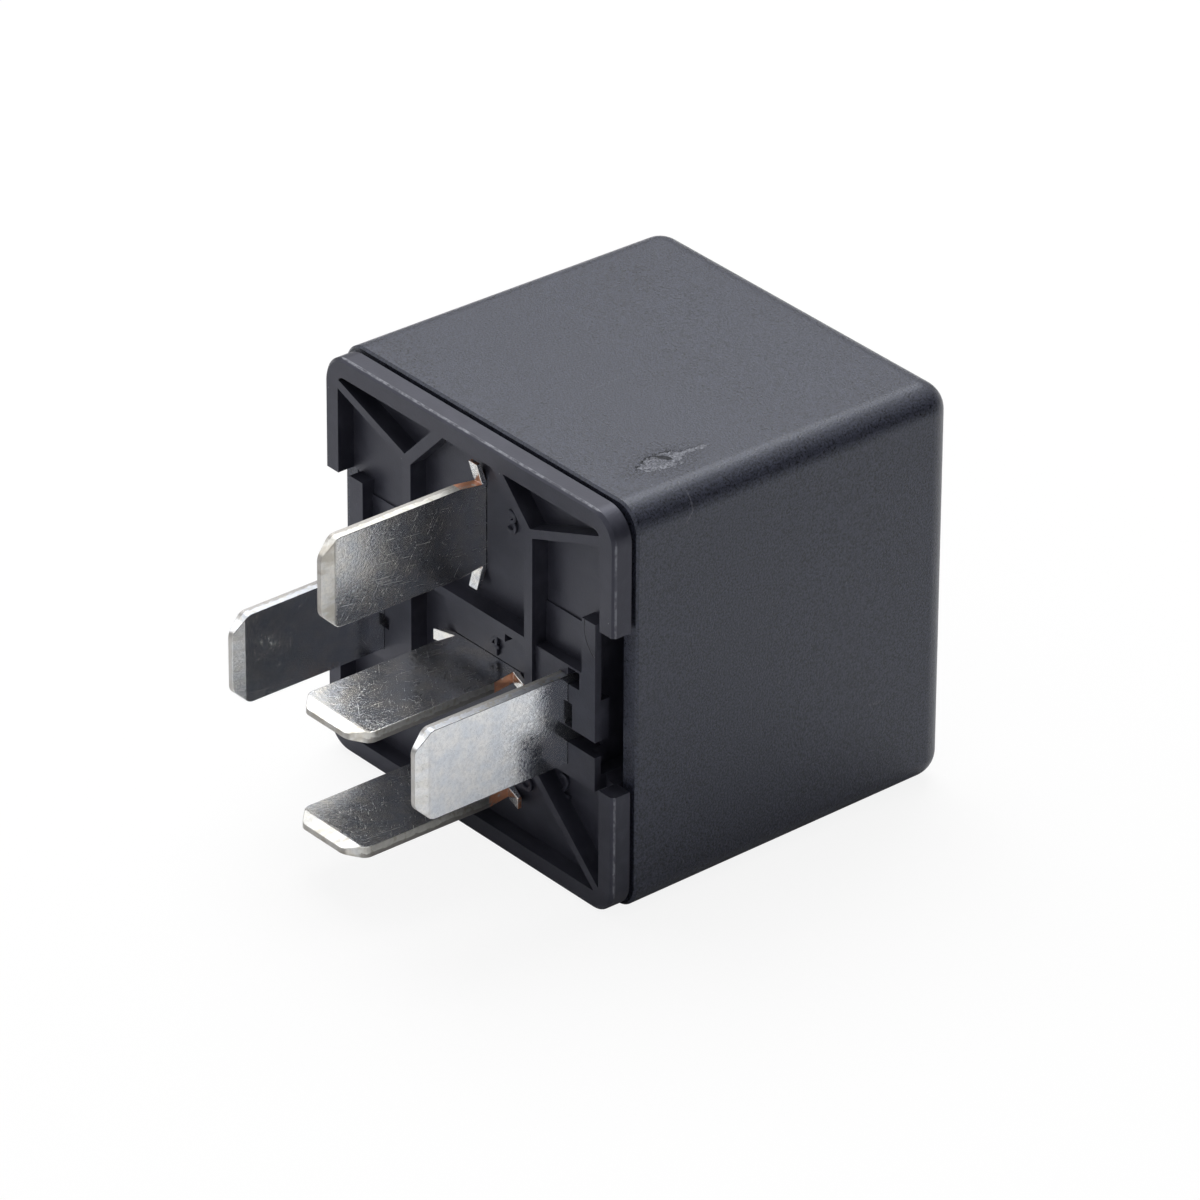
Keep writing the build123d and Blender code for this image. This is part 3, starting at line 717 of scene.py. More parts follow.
@dataclass(frozen=True)
class BobbinNylon(Finish):
    """Natural glass-filled nylon, waxy, with short fibres near the skin."""

    name: str = "bobbin_nylon"
    slot: str = "bobbin_plastic"
    dull: Shade = (0.56, 0.51, 0.41)
    bright: Shade = (0.67, 0.63, 0.53)
    tint: Shade = (0.75, 0.73, 0.66)

    def paint(self, kit: ShaderKit, place: Place) -> dict[int | str, Any]:
        """Paints the warm skin and its fibres.

        Args:
            place: Where the surface is.

        Returns:
            The shader's sockets by name.
        """
        clouds = kit.noise(place.point, 0.6, 3.0)
        fibres = kit.scratches(place.point, (1.2, 8.0, 8.0), 0.6, 0.05)
        skin = kit.tinted(self.dull, self.bright, clouds.rise(0.3, 0.7))
        return {
            "Base Color": kit.tinted(skin, self.tint, fibres * 0.5),
            "Roughness": clouds.spread(0.38, 0.52),
            "Normal": kit.relief(fibres + clouds * 0.5, 0.006),
            "IOR": 1.53,
        }


@dataclass(frozen=True)
class EnamelledWire(Finish):
    """Copper wire under a clear amber enamel, a little uneven from turn to turn."""

    name: str = "enamelled_wire"
    slot: str = "enamelled_wire"
    dull: Shade = (0.40, 0.125, 0.035)
    bright: Shade = (0.66, 0.27, 0.09)
    tint: Shade = (0.30, 0.08, 0.03)
    pitch: float = 0.3

    def paint(self, kit: ShaderKit, place: Place) -> dict[int | str, Any]:
        """Paints copper that changes from turn to turn.

        Args:
            place: Where the surface is.

        Returns:
            The shader's sockets by name.
        """
        turns = kit.noise(place.point, (0.1, 1.0 / self.pitch, 0.1), 1.0)
        clouds = kit.noise(place.point, 0.7, 2.0)
        skin = kit.tinted(self.dull, self.bright, turns.rise(0.3, 0.7))
        return {
            "Base Color": kit.tinted(skin, self.tint, clouds.rise(0.5, 0.8) * 0.5),
            "Metallic": 1.0,
            "Roughness": clouds.spread(0.2, 0.34),
            "Coat Weight": 0.6,
            "Coat Roughness": 0.08,
            "Coat IOR": 1.6,
        }


@dataclass(frozen=True)
class SpringBronze(Finish):
    """Bare phosphor bronze strip with fine rolling lines."""

    name: str = "spring_bronze"
    slot: str = "spring_bronze"
    dull: Shade = (0.70, 0.45, 0.27)
    bright: Shade = (0.83, 0.60, 0.38)
    tint: Shade = (0.46, 0.27, 0.16)

    def paint(self, kit: ShaderKit, place: Place) -> dict[int | str, Any]:
        """Paints rolled bronze with a faint tarnish.

        Args:
            place: Where the surface is.

        Returns:
            The shader's sockets by name.
        """
        rolled = kit.noise(place.point, (16.0, 0.5, 0.5), 3.0)
        tarnish = kit.noise(place.point, 0.9, 4.0)
        skin = kit.tinted(self.dull, self.bright, rolled.rise(0.3, 0.7))
        return {
            "Base Color": kit.tinted(skin, self.tint, tarnish.rise(0.5, 0.8) * 0.6),
            "Metallic": 1.0,
            "Roughness": rolled.spread(0.18, 0.34) + 0.1 * tarnish,
            "Normal": kit.relief(rolled, 0.004),
        }


class MetalTone(Enum):
    """The pale metals that share one way of being painted: dull shade, bright shade, roughness."""

    SILVER = ((0.74, 0.72, 0.67), (0.90, 0.89, 0.86), 0.22)
    STEEL = ((0.52, 0.52, 0.50), (0.72, 0.72, 0.70), 0.30)
    SOLDER = ((0.58, 0.58, 0.59), (0.80, 0.80, 0.81), 0.24)


@dataclass(frozen=True)
class PaleMetal(Finish):
    """A small pale metal piece: contact silver, rivet steel or solder."""

    name: str = "rivet_steel"
    slot: str = "rivet_steel"
    tone: MetalTone = MetalTone.STEEL

    def paint(self, kit: ShaderKit, place: Place) -> dict[int | str, Any]:
        """Paints the metal in its dull and bright shades, with small dents.

        Args:
            place: Where the surface is.

        Returns:
            The shader's sockets by name.
        """
        dull, bright, roughness = self.tone.value
        mottle = kit.noise(place.point, 2.2, 4.0)
        dents = kit.noise(place.point, 6.0, 2.0)
        return {
            "Base Color": kit.tinted(dull, bright, mottle.rise(0.3, 0.7)),
            "Metallic": 1.0,
            "Roughness": dents.spread(roughness - 0.06, roughness + 0.14),
            "Normal": kit.relief(dents, 0.010),
        }


# Meshes


def added(name: str, data: bpy.types.ID) -> bpy.types.Object:
    """Puts a mesh, a curve, a light or a camera in the scene.

    Args:
        name: The object's name.
        data: What it holds.

    Returns:
        The object.
    """
    holder = bpy.data.objects.new(name, data)
    bpy.context.scene.collection.objects.link(holder)
    return holder


def show(
    name: str, mesh: bpy.types.Mesh, finish: Finish, body: str, nodes: Sequence[str] = ()
) -> bpy.types.Object:
    """Puts a finished mesh in the scene as one piece.

    Args:
        name: The piece's name.
        mesh: Its mesh, in the part's frame.
        finish: Its surface finish.
        body: The body that it moves with.
        nodes: The solids that it stands for.

    Returns:
        The piece.
    """
    piece = added(name, mesh)
    mesh.materials.clear()
    mesh.materials.append(finish.material())
    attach(piece, body)
    if nodes:
        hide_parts(*nodes)
    log.info("%s: %d faces, rides on %s", name, len(mesh.polygons), body)
    return piece


def paint_node(node: str, finish: Finish) -> None:
    """Gives a solid that stays as it is its finish.

    Args:
        node: The solid's name.
        finish: Its surface finish.
    """
    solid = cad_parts[node]
    for slot in solid.material_slots:
        slot.material = finish.material()
    log.info("%s: kept, finish %s", node, finish.name)


def mesh_from(form: bmesh.types.BMesh, name: str) -> bpy.types.Mesh:
    """Writes an edited form to a new mesh and frees it.

    Args:
        form: The form.
        name: The mesh's name.

    Returns:
        The mesh.
    """
    mesh = bpy.data.meshes.new(name)
    form.to_mesh(mesh)
    form.free()
    return mesh


def smooth(
    mesh: bpy.types.Mesh, degrees: float = SHARP_ANGLE, through: Vector | None = None
) -> None:
    """Shades a mesh smooth, and keeps its sharp edges.

    Args:
        mesh: The mesh.
        degrees: The angle between two faces from which their edge stays sharp.
        through: For flat stock, the way through it. Bends across the stock then stay crisp.
    """
    crisp = math.radians(CRISP_ANGLE)
    form = bmesh.new()
    form.from_mesh(mesh)
    for face in form.faces:
        face.smooth = True
    for edge in form.edges:
        limit = math.radians(degrees)
        if through is not None:
            along = (edge.verts[1].co - edge.verts[0].co).normalized()
            limit = limit if abs(along.dot(through)) > THROUGH_SHARE else crisp
        edge.smooth = len(edge.link_faces) == 2 and edge.calc_face_angle(0.0) < limit
    form.to_mesh(mesh)
    form.free()


def baked(piece: bpy.types.Object) -> bpy.types.Mesh:
    """Turns an object with modifiers into a plain mesh, and removes the object.

    Args:
        piece: An object of this script.

    Returns:
        What the modifiers make of it.
    """
    bpy.context.view_layer.update()
    graph = bpy.context.evaluated_depsgraph_get()
    mesh = bpy.data.meshes.new_from_object(piece.evaluated_get(graph))
    bpy.data.objects.remove(piece)
    return mesh


def merged_copy(node: str, fine: float = 0.0005) -> bpy.types.Mesh:
    """Copies a solid's mesh, with its loose triangles joined and its flat faces whole.

    Args:
        node: The solid's name.
        fine: The distance in millimetres within which points are one.

    Returns:
        The copy.
    """
    form = bmesh.new()
    form.from_mesh(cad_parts[node].data)
    bmesh.ops.remove_doubles(form, verts=form.verts, dist=fine * MM)
    bmesh.ops.dissolve_limit(
        form,
        angle_limit=math.radians(FLAT_ANGLE),
        verts=form.verts,
        edges=form.edges,
        use_dissolve_boundaries=False,
    )
    return mesh_from(form, node)


def rounded_copy(node: str, radius: float, segments: int = 2) -> bpy.types.Mesh:
    """Copies a solid's mesh and rounds its sharp edges as tumbling or moulding does.

    Args:
        node: The solid's name.
        radius: The rounding in millimetres.
        segments: Steps in the rounding.

    Returns:
        The rounded copy.
    """
    return rounded(merged_copy(node), radius, segments)


def rounded(
    mesh: bpy.types.Mesh,
    radius: float,
    segments: int = 2,
    through: Vector | None = None,
) -> bpy.types.Mesh:
    """Rounds a mesh's sharp edges.

    Args:
        mesh: The mesh, which isn't kept.
        radius: The rounding in millimetres.
        segments: Steps in the rounding.
        through: For flat stock, the way through it. Bends across the stock then stay crisp.

    Returns:
        The rounded mesh.
    """
    smooth(mesh, ROUNDED_ANGLE, through)
    holder = added("edges_in_work", mesh)
    bevel = holder.modifiers.new("rounding", "BEVEL")
    bevel.width = radius * MM
    bevel.segments = segments
    bevel.limit_method = "ANGLE"
    bevel.angle_limit = math.radians(ROUNDED_ANGLE)
    bevel.miter_outer = "MITER_ARC"
    bevel.harden_normals = False
    normals = holder.modifiers.new("flat_faces", "WEIGHTED_NORMAL")
    normals.keep_sharp = True
    normals.weight = 90
    return baked(holder)


def show_copy(
    name: str, node: str, radius: float, finish: Finish, body: str = "housing", segments: int = 2
) -> None:
    """Shows a rounded copy of one solid in its place.

    Args:
        name: The piece's name.
        node: The solid's name.
        radius: The rounding in millimetres.
        finish: Its surface finish.
        body: The body that it moves with.
        segments: Steps in the rounding.
    """
    show(name, rounded_copy(node, radius, segments), finish, body, [node])


def lathe(profile: Sequence[tuple[float, float]], steps: int = 40) -> bmesh.types.BMesh:
    """Turns a profile round Z into a closed form.

    Args:
        profile: Radius and height of each point in metres, from the lowest point up. The first and
            last radius are 0.
        steps: Points round the form.

    Returns:
        The form, with its faces outwards.
    """
    form = bmesh.new()
    rings: list[list[bmesh.types.BMVert]] = []
    for radius, height in profile:
        if radius == 0.0:
            rings.append([form.verts.new((0.0, 0.0, height))])
            continue
        angles = [2 * math.pi * step / steps for step in range(steps)]
        ring = [(radius * math.cos(a), radius * math.sin(a), height) for a in angles]
        rings.append([form.verts.new(point) for point in ring])
    for low, high in zip(rings, rings[1:]):
        for step in range(steps):
            after = (step + 1) % steps
            if len(low) == 1:
                form.faces.new((low[0], high[after], high[step]))
            elif len(high) == 1:
                form.faces.new((low[step], low[after], high[0]))
            else:
                form.faces.new((low[step], low[after], high[after], high[step]))
    return form


def dome(
    radius: float, base: float, height: float, shoulder: float, steps: int = 8
) -> list[tuple[float, float]]:
    """Gives the profile of a domed head above a shoulder.

    Args:
        radius: The head's radius.
        base: The height where the head starts.
        height: The head's whole height.
        shoulder: The share of the height that is a straight rim.
        steps: Steps in the dome.

    Returns:
        Radius and height of each point, from the rim up to the middle.
    """
    rim = base + height * shoulder
    points = [(radius, base), (radius, rim)]
    for step in range(1, steps):
        angle = math.pi / 2 * step / steps
        points.append((radius * math.cos(angle), rim + (height - height * shoulder) * math.sin(angle)))
    return points + [(0.0, base + height)]


def facing(direction: Vector) -> Matrix:
    """Gives the turn that takes +Z to a direction.

    Args:
        direction: Where +Z goes.

    Returns:
        The turn.
    """
    return direction.to_track_quat("Z", "Y").to_matrix().to_4x4()


# Forms grown by node trees


class GrownForm:
    """A geometry tree with named inputs, run once into a plain mesh."""

    def __init__(self, name: str) -> None:
        """Starts an empty tree with its output.

        Args:
            name: The tree's name.
        """
        self.tree = bpy.data.node_groups.new(name, "GeometryNodeTree")
        self.kit = NodeKit(self.tree)
        self.tree.interface.new_socket(
            name="Geometry", in_out="OUTPUT", socket_type="NodeSocketGeometry"
        )
        self.entry: bpy.types.Node | None = None
        self.values: dict[str, Any] = {}

    def takes(self, values: dict[str, Any]) -> None:
        """Args:
            values: Each input's value by its name.
        """
        kinds = {int: "NodeSocketInt", float: "NodeSocketFloat", Vector: "NodeSocketVector"}
        for name, value in values.items():
            kind = kinds.get(type(value), "NodeSocketObject")
            if isinstance(value, bpy.types.Material):
                kind = "NodeSocketMaterial"
            self.tree.interface.new_socket(name=name, in_out="INPUT", socket_type=kind)
        self.values = values
        self.entry = self.kit.add("NodeGroupInput")

    def __getitem__(self, name: str) -> bpy.types.NodeSocket:
        """Gives the socket of one input."""
        return self.entry.outputs[name]

    def grow(self, geometry: bpy.types.NodeSocket, material: str) -> bpy.types.Mesh:
        """Ends the tree in real faces with their material, and runs it.

        Args:
            geometry: What the tree has made.
            material: The name of the input with the material.

        Returns:
            The grown mesh.
        """
        whole = self.kit.add("GeometryNodeRealizeInstances", {}, {"Geometry": geometry})
        painted = self.kit.add(
            "GeometryNodeSetMaterial", {}, {"Geometry": whole.outputs[0], "Material": self[material]}
        )
        self.kit.add("NodeGroupOutput", {}, {0: painted.outputs[0]})
        holder = added(self.tree.name, bpy.data.meshes.new(self.tree.name))
        modifier = holder.modifiers.new(self.tree.name, "NODES")
        modifier.node_group = self.tree
        for socket in self.tree.interface.items_tree:
            if socket.in_out == "INPUT":
                value = self.values[socket.name]
                modifier[socket.identifier] = tuple(value) if isinstance(value, Vector) else value
        return baked(holder)


@dataclass
class WireTurns:
    """The outer layer of a coil: turns of round wire side by side, drawn as one helix."""

    radius: float
    length: float
    wire: float
    start: Vector
    finish: Finish
    steps: int = 44
    sides: int = 7

    def mesh(self) -> bpy.types.Mesh:
        """Grows the helix along +Y from its start.

        Returns:
            The turns as one mesh.
        """
        form = GrownForm("coil_turns_tree")
        form.takes(
            {
                "Turns": self.length / (2 * self.wire),
                "Coil Radius": self.radius * MM,
                "Coil Length": self.length * MM,
                "Wire Radius": self.wire * MM,
                "Steps": self.steps,
                "Sides": self.sides,
                "Start": self.start,
                "Along": Vector((-math.pi / 2, 0.0, 0.0)),
                "Finish": self.finish.material(),
            }
        )
        kit = form.kit
        line = kit.add(
            "GeometryNodeCurveSpiral",
            {},
            {
                "Resolution": form["Steps"],
                "Rotations": form["Turns"],
                "Start Radius": form["Coil Radius"],
                "End Radius": form["Coil Radius"],
                "Height": form["Coil Length"],
            },
        )
        section = kit.add(
            "GeometryNodeCurvePrimitiveCircle",
            {"mode": "RADIUS"},
            {"Resolution": form["Sides"], "Radius": form["Wire Radius"]},
        )
        tube = kit.add(
            "GeometryNodeCurveToMesh",
            {},
            {"Curve": line.outputs[0], "Profile Curve": section.outputs[0], "Fill Caps": True},
        )
        placed = kit.add(
            "GeometryNodeTransform",
            {},
            {"Geometry": tube.outputs[0], "Translation": form["Start"], "Rotation": form["Along"]},
        )
        return form.grow(placed.outputs[0], "Finish")


@dataclass
class RivetRow:
    """Domed rivets in a row, all of one turned form."""

    count: int
    spacing: float
    middle: Vector
    direction: Vector
    shank_radius: float
    shank_length: float
    head_radius: float
    head_height: float
    finish: Finish

    def one_rivet(self) -> bpy.types.Object:
        """Turns one rivet, with the underside of its head at the origin.

        Returns:
            A helper object that the row copies.
        """
        shank = self.shank_radius * MM
        foot = -self.shank_length * MM
        rim = [(self.head_radius * MM, 0.0)]
        profile = [(0.0, foot), (shank * 0.86, foot), (shank, foot + 0.08 * MM), (shank, 0.0)]
        profile += rim + dome(self.head_radius * MM, 0.0, self.head_height * MM, 0.3)[1:]
        form = lathe(profile)
        form.transform(facing(self.direction))
        mesh = mesh_from(form, "one_rivet")
        smooth(mesh)
        rivet = added("one_rivet", mesh)
        return rivet

    def mesh(self) -> bpy.types.Mesh:
        """Grows the row.

        Returns:
            The rivets as one mesh.
        """
        rivet = self.one_rivet()
        form = GrownForm("rivet_row_tree")
        form.takes(
            {
                "Count": self.count,
                "First": self.middle - Vector((self.spacing * MM * (self.count - 1) / 2, 0, 0)),
                "Step": Vector((self.spacing * MM, 0.0, 0.0)),
                "Rivet": rivet,
                "Finish": self.finish.material(),
            }
        )
        kit = form.kit
        row = kit.add(
            "GeometryNodeMeshLine",
            {"mode": "OFFSET"},
            {"Count": form["Count"], "Start Location": form["First"], "Offset": form["Step"]},
        )
        source = kit.add(
            "GeometryNodeObjectInfo", {"transform_space": "ORIGINAL"}, {"Object": form["Rivet"]}
        )
        copies = kit.add(
            "GeometryNodeInstanceOnPoints",
            {},
            {"Points": row.outputs[0], "Instance": source.outputs["Geometry"]},
        )
        mesh = form.grow(copies.outputs[0], "Finish")
        bpy.data.objects.remove(rivet)
        return mesh


# Sub-assemblies


@dataclass
class Housing:
    """The moulded cap and base, with plain terminal numbers raised in the base's cells."""

    cap_edge: float = 0.05
    base_edge: float = 0.07
    number_height: float = 1.6
    number_rise: float = 0.18
    number_edge: float = 0.02
    capital_share: float = 0.72
    cell_floor: float = 1.25
    cap_finish: CapPlastic = field(default_factory=CapPlastic)
    base_finish: BasePlastic = field(default_factory=BasePlastic)
    numbers: tuple[tuple[str, float, float], ...] = (
        ("1", -8.2, -7.7),
        ("2", 8.2, -7.7),
        ("3", 3.1, 8.8),
        ("4", 1.3, -0.55),
        ("5", 4.6, -9.0),
    )

    def build(self) -> None:
        """Builds the cap, the base and the numbers."""
        self.cap()
        self.base()
        self.terminal_numbers()

    def cap(self) -> None:
        """Copies the cap with smooth rounded edges."""
        show_copy("cap_moulding", "cap", self.cap_edge, self.cap_finish)

    def base(self) -> None:
        """Copies the base with its edges rounded as a mould leaves them."""
        show_copy("base_moulding", "base", self.base_edge, self.base_finish)

    def terminal_numbers(self) -> None:
        """Raises one plain number beside each blade."""
        whole = bmesh.new()
        for text, x, z in self.numbers:
            whole.from_mesh(self.number(text, x, z))
        bmesh.ops.remove_doubles(whole, verts=whole.verts, dist=0.0002 * MM)
        mesh = mesh_from(whole, "terminal_numbers")
        smooth(mesh, 30.0)
        show("terminal_numbers", mesh, self.base_finish, "housing")

    def number(self, text: str, x: float, z: float) -> bpy.types.Mesh:
        """Makes one number that faces the blades' side.

        Args:
            text: The number.
            x: Its middle in X.
            z: Its middle in Z.

        Returns:
            Its mesh in the part's frame.
        """
        letters = bpy.data.curves.new("number", "FONT")
        letters.body = text
        letters.size = self.number_height * MM / self.capital_share
        letters.extrude = self.number_rise * MM
        letters.bevel_depth = self.number_edge * MM
        letters.bevel_resolution = 1
        letters.resolution_u = 5
        letters.align_x = "CENTER"
        letters.align_y = "CENTER"
        holder = added("number", letters)
        mesh = baked(holder)
        upright = Matrix.Rotation(math.pi / 2, 4, "X")
        mesh.transform(Matrix.Translation(at(x, self.cell_floor, z)) @ upright)
        return mesh


@dataclass
class Terminal:
    """One stamped blade terminal: the middles of its width and thickness, and how it stands."""

    node: str
    middle: float
    level: float
    upright: bool
    staked: bool = True
    edge: float = 0.045
    corner: float = 0.28
    corner_zone: float = -9.9

    @property
    def through(self) -> Vector:
        """Gives the way through the blade's thickness."""
        return Vector((1, 0, 0)) if self.upright else Vector((0, 0, 1))

    def build(self) -> None:
        """Copies the terminal with tumbled edges and its own tinned skin."""
        skin = TinnedSheet(
            name=f"tinned_sheet_{self.node}",
            middle=self.middle,
            level=self.level,
            upright=self.upright,
            staked=self.staked,
            **({} if self.staked else COIL_BLADE_TONES),
        )
        mesh = self.with_soft_corners(merged_copy(self.node))
        mesh = rounded(mesh, self.edge, through=self.through)
        show(f"{self.node}_blade", mesh, skin, "housing", [self.node])

    def with_soft_corners(self, mesh: bpy.types.Mesh) -> bpy.types.Mesh:
        """Rounds the corners of the tip's outline, where the press cut them.

        Args:
            mesh: The terminal's merged mesh, which isn't kept.

        Returns:
            The mesh with soft corners.
        """
        form = bmesh.new()
        form.from_mesh(mesh)
        zone = at(0, self.corner_zone, 0).y
        corners = [
            edge
            for edge in form.edges
            if max(v.co.y for v in edge.verts) < zone
            and abs((edge.verts[1].co - edge.verts[0].co).normalized().dot(self.through)) > THROUGH_SHARE
            and edge.calc_face_angle(0.0) > math.radians(20)
        ]
        bmesh.ops.bevel(
            form, geom=corners, offset=self.corner * MM, segments=4, profile=0.5, affect="EDGES"
        )
        return mesh_from(form, self.node)


@dataclass
class BladeSet:
    """The five blades."""

    terminals: tuple[Terminal, ...] = (
        Terminal("terminal_30", 7.55, 0.0, upright=True),
        Terminal("terminal_85", -1.95, 9.1, upright=True, staked=False),
        Terminal("terminal_86", -1.95, -9.1, upright=True, staked=False),
        Terminal("terminal_87", 0.0, -10.45, upright=False),
        Terminal("terminal_87a", 0.5, -1.95, upright=False),
    )

    def build(self) -> None:
        """Builds every terminal."""
        for terminal in self.terminals:
            terminal.build()


@dataclass
class Magnet:
    """Yoke, core, bobbin, coil and its soldered leads."""

    coil_radius: float = 6.35
    hub_radius: float = 3.71
    coil_start: float = 6.93
    coil_end: float = 17.86
    axis_height: float = 0.9
    wire: float = 0.15
    iron_edge: float = 0.08
    nylon_edge: float = 0.07
    solder_edge: float = 0.12
    iron: PlatedIron = field(default_factory=PlatedIron)
    nylon: BobbinNylon = field(default_factory=BobbinNylon)
    copper: EnamelledWire = field(default_factory=EnamelledWire)

    def build(self) -> None:
        """Dresses the iron and the bobbin, and winds the coil."""
        show_copy("yoke_bracket", "yoke", self.iron_edge, self.iron)
        show_copy("core_turned", "core", self.iron_edge, self.iron)
        show_copy("bobbin_moulding", "bobbin", self.nylon_edge, self.nylon)
        self.coil()
        for lead in ("coil_lead_start", "coil_lead_end"):
            paint_node(lead, self.copper)
        solder = PaleMetal("solder_metal", "solder", MetalTone.SOLDER)
        show_copy("solder_collars", "solder_joints", self.solder_edge, solder, segments=3)

    def coil(self) -> None:
        """Winds the outer turns and puts the layers under them as one sleeve."""
        length = self.coil_end - self.coil_start
        turns = WireTurns(
            radius=self.coil_radius - self.wire,
            length=length - 2 * self.wire,
            wire=self.wire,
            start=at(0, self.coil_start + self.wire, self.axis_height),
            finish=self.copper,
        )
        mesh = turns.mesh()
        smooth(mesh, 60.0)
        show("coil_turns", mesh, self.copper, "housing", ["coil_winding"])
        under = self.coil_radius - 1.6 * self.wire
        profile = [(self.hub_radius, 0.0), (under, 0.0), (under, length), (self.hub_radius, length)]
        show("coil_layers", self.sleeve(profile), self.copper, "housing")

    def sleeve(self, profile: Sequence[tuple[float, float]], steps: int = 64) -> bpy.types.Mesh:
        """Turns a closed outline into the ring of wire under the outer turns.

        Args:
            profile: Radius and place along the coil of each corner, in millimetres.
            steps: Points round the ring.

        Returns:
            The ring's mesh.
        """
        form = bmesh.new()
        rings = []
        for step in range(steps):
            angle = 2 * math.pi * step / steps
            points = [
                at(r * math.cos(angle), self.coil_start + y, self.axis_height + r * math.sin(angle))
                for r, y in profile
            ]
            rings.append([form.verts.new(point) for point in points])
        for first, second in zip(rings, rings[1:] + rings[:1]):
            for corner in range(len(profile)):
                after = (corner + 1) % len(profile)
                form.faces.new((first[corner], first[after], second[after], second[corner]))
        bmesh.ops.recalc_face_normals(form, faces=form.faces)
        mesh = mesh_from(form, "coil_layers")
        smooth(mesh)
        return mesh


@dataclass
class ContactSet:
    """Armature, contact spring, rivets and the three contacts."""

    lean: float = math.radians(3.0)
    hinge: tuple[float, float] = (20.1923, 9.5)
    contact_height: float = -8.8
    contact_radius: float = 1.6
    contact_head: float = 0.7
    shank_radius: float = 0.75
    spring_face: float = 21.5923
    spring_thickness: float = 0.3
    open_tab_front: float = 20.1423
    closed_tab_back: float = 24.35
    sheet: float = 0.8
    foot_end: float = 18.908
    foot_top: float = 9.8
    rivet_place: float = 14.408
    rivet_spacing: float = 4.8
    armature_rivet_height: float = 1.7
    rivet_shank: float = 0.8
    rivet_head: float = 1.4
    rivet_dome: float = 0.5
    yoke_rivet_length: float = 1.8
    armature_rivet_length: float = 1.7
    rim_share: float = 0.55
    iron_edge: float = 0.08
    spring_edge: float = 0.03
    silver: PaleMetal = field(
        default_factory=lambda: PaleMetal("contact_silver", "silver_contact", MetalTone.SILVER)
    )
    steel: PaleMetal = field(default_factory=PaleMetal)

    def build(self) -> None:
        """Builds the moving and the fixed pieces."""
        show_copy("armature_plate", "armature", self.iron_edge, PlatedIron(), "armature")
        self.spring()
        self.rivets()
        self.contacts()

    def released(self, x: float, y: float, z: float) -> Vector:
        """Turns a place on the closed armature to where it rests.

        Args:
            x: Millimetres towards terminal 85.
            y: Millimetres towards the cap's closed end.
            z: Millimetres up.

        Returns:
            The place at rest, in metres in the part's frame.
        """
        along, up = y - self.hinge[0], z - self.hinge[1]
        turned_y = along * math.cos(self.lean) - up * math.sin(self.lean)
        turned_z = along * math.sin(self.lean) + up * math.cos(self.lean)
        return at(x, self.hinge[0] + turned_y, self.hinge[1] + turned_z)

    def spring(self) -> None:
        """Copies the spring with rounded edges and its finish, joined to no body."""
        mesh = rounded_copy("contact_spring", self.spring_edge)
        piece = added("contact_spring_strip", mesh)
        finish = SpringBronze()
        mesh.materials.clear()
        mesh.materials.append(finish.material())
        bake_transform(piece)
        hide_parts("contact_spring")
        log.info("contact_spring_strip: %d faces, bends at the hinge", len(mesh.polygons))

    def rivets(self) -> None:
        """Grows the two rows of rivets, one on each body."""
        shared = {
            "count": 2,
            "spacing": self.rivet_spacing,
            "shank_radius": self.rivet_shank,
            "head_radius": self.rivet_head,
            "head_height": self.rivet_dome,
            "finish": self.steel,
        }
        yoke_row = RivetRow(
            middle=at(0, self.rivet_place, self.foot_top),
            direction=Vector((0, 0, 1)),
            shank_length=self.yoke_rivet_length,
            **shared,
        )
        show("yoke_rivet_row", yoke_row.mesh(), self.steel, "housing", ["spring_yoke_rivets"])
        top = self.spring_face + self.spring_thickness
        armature_row = RivetRow(
            middle=self.released(0, top, self.armature_rivet_height),
            direction=Vector((0, math.cos(self.lean), math.sin(self.lean))),
            shank_length=self.armature_rivet_length,
            **shared,
        )
        mesh = armature_row.mesh()
        show("armature_rivet_row", mesh, self.steel, "armature", ["spring_armature_rivets"])

    def button(self, below: float, twin: bool = False) -> bmesh.types.BMesh:
        """Turns one contact: a crowned head on a shank, with a second head where it is double.

        Args:
            below: How far the shank goes below the head's underside.
            twin: Whether a second head sits at the shank's other end.

        Returns:
            The contact along +Z, with the head's underside at the origin.
        """
        crown = dome(self.contact_radius, 0.0, self.contact_head, self.rim_share)
        head = [(r * MM, h * MM) for r, h in crown]
        shank = self.shank_radius * MM
        if twin:
            other = [(r, -below * MM - h) for r, h in reversed(head)]
            return lathe(other + [(shank, -below * MM), (shank, 0.0)] + head)
        foot = [(0.0, -below * MM), (shank, -below * MM), (shank, 0.0)]
        return lathe(foot + head)

    def contacts(self) -> None:
        """Places the moving contact and the two fixed ones."""
        height = self.contact_height
        spring_back = self.released(0, self.spring_face + self.spring_thickness, height)
        leaning = Vector((0, math.cos(self.lean), math.sin(self.lean)))
        opened_front = at(0, self.open_tab_front, height)
        closed_back = at(0, self.closed_tab_back, height)
        moving, opened, closed = (
            self.button(self.spring_thickness, twin=True),
            self.button(self.sheet),
            self.button(self.sheet),
        )
        for name, form, place, towards, body, node in (
            ("moving_contact_button", moving, spring_back, leaning, "armature", "moving_contact"),
            (
                "open_contact_button",
                opened,
                opened_front,
                Vector((0, 1, 0)),
                "housing",
                "normally_open_contact",
            ),
            (
                "closed_contact_button",
                closed,
                closed_back,
                Vector((0, -1, 0)),
                "housing",
                "normally_closed_contact",
            ),
        ):
            form.transform(Matrix.Translation(place) @ facing(towards))
            mesh = mesh_from(form, name)
            smooth(mesh)
            show(name, mesh, self.silver, body, [node])


# Studio


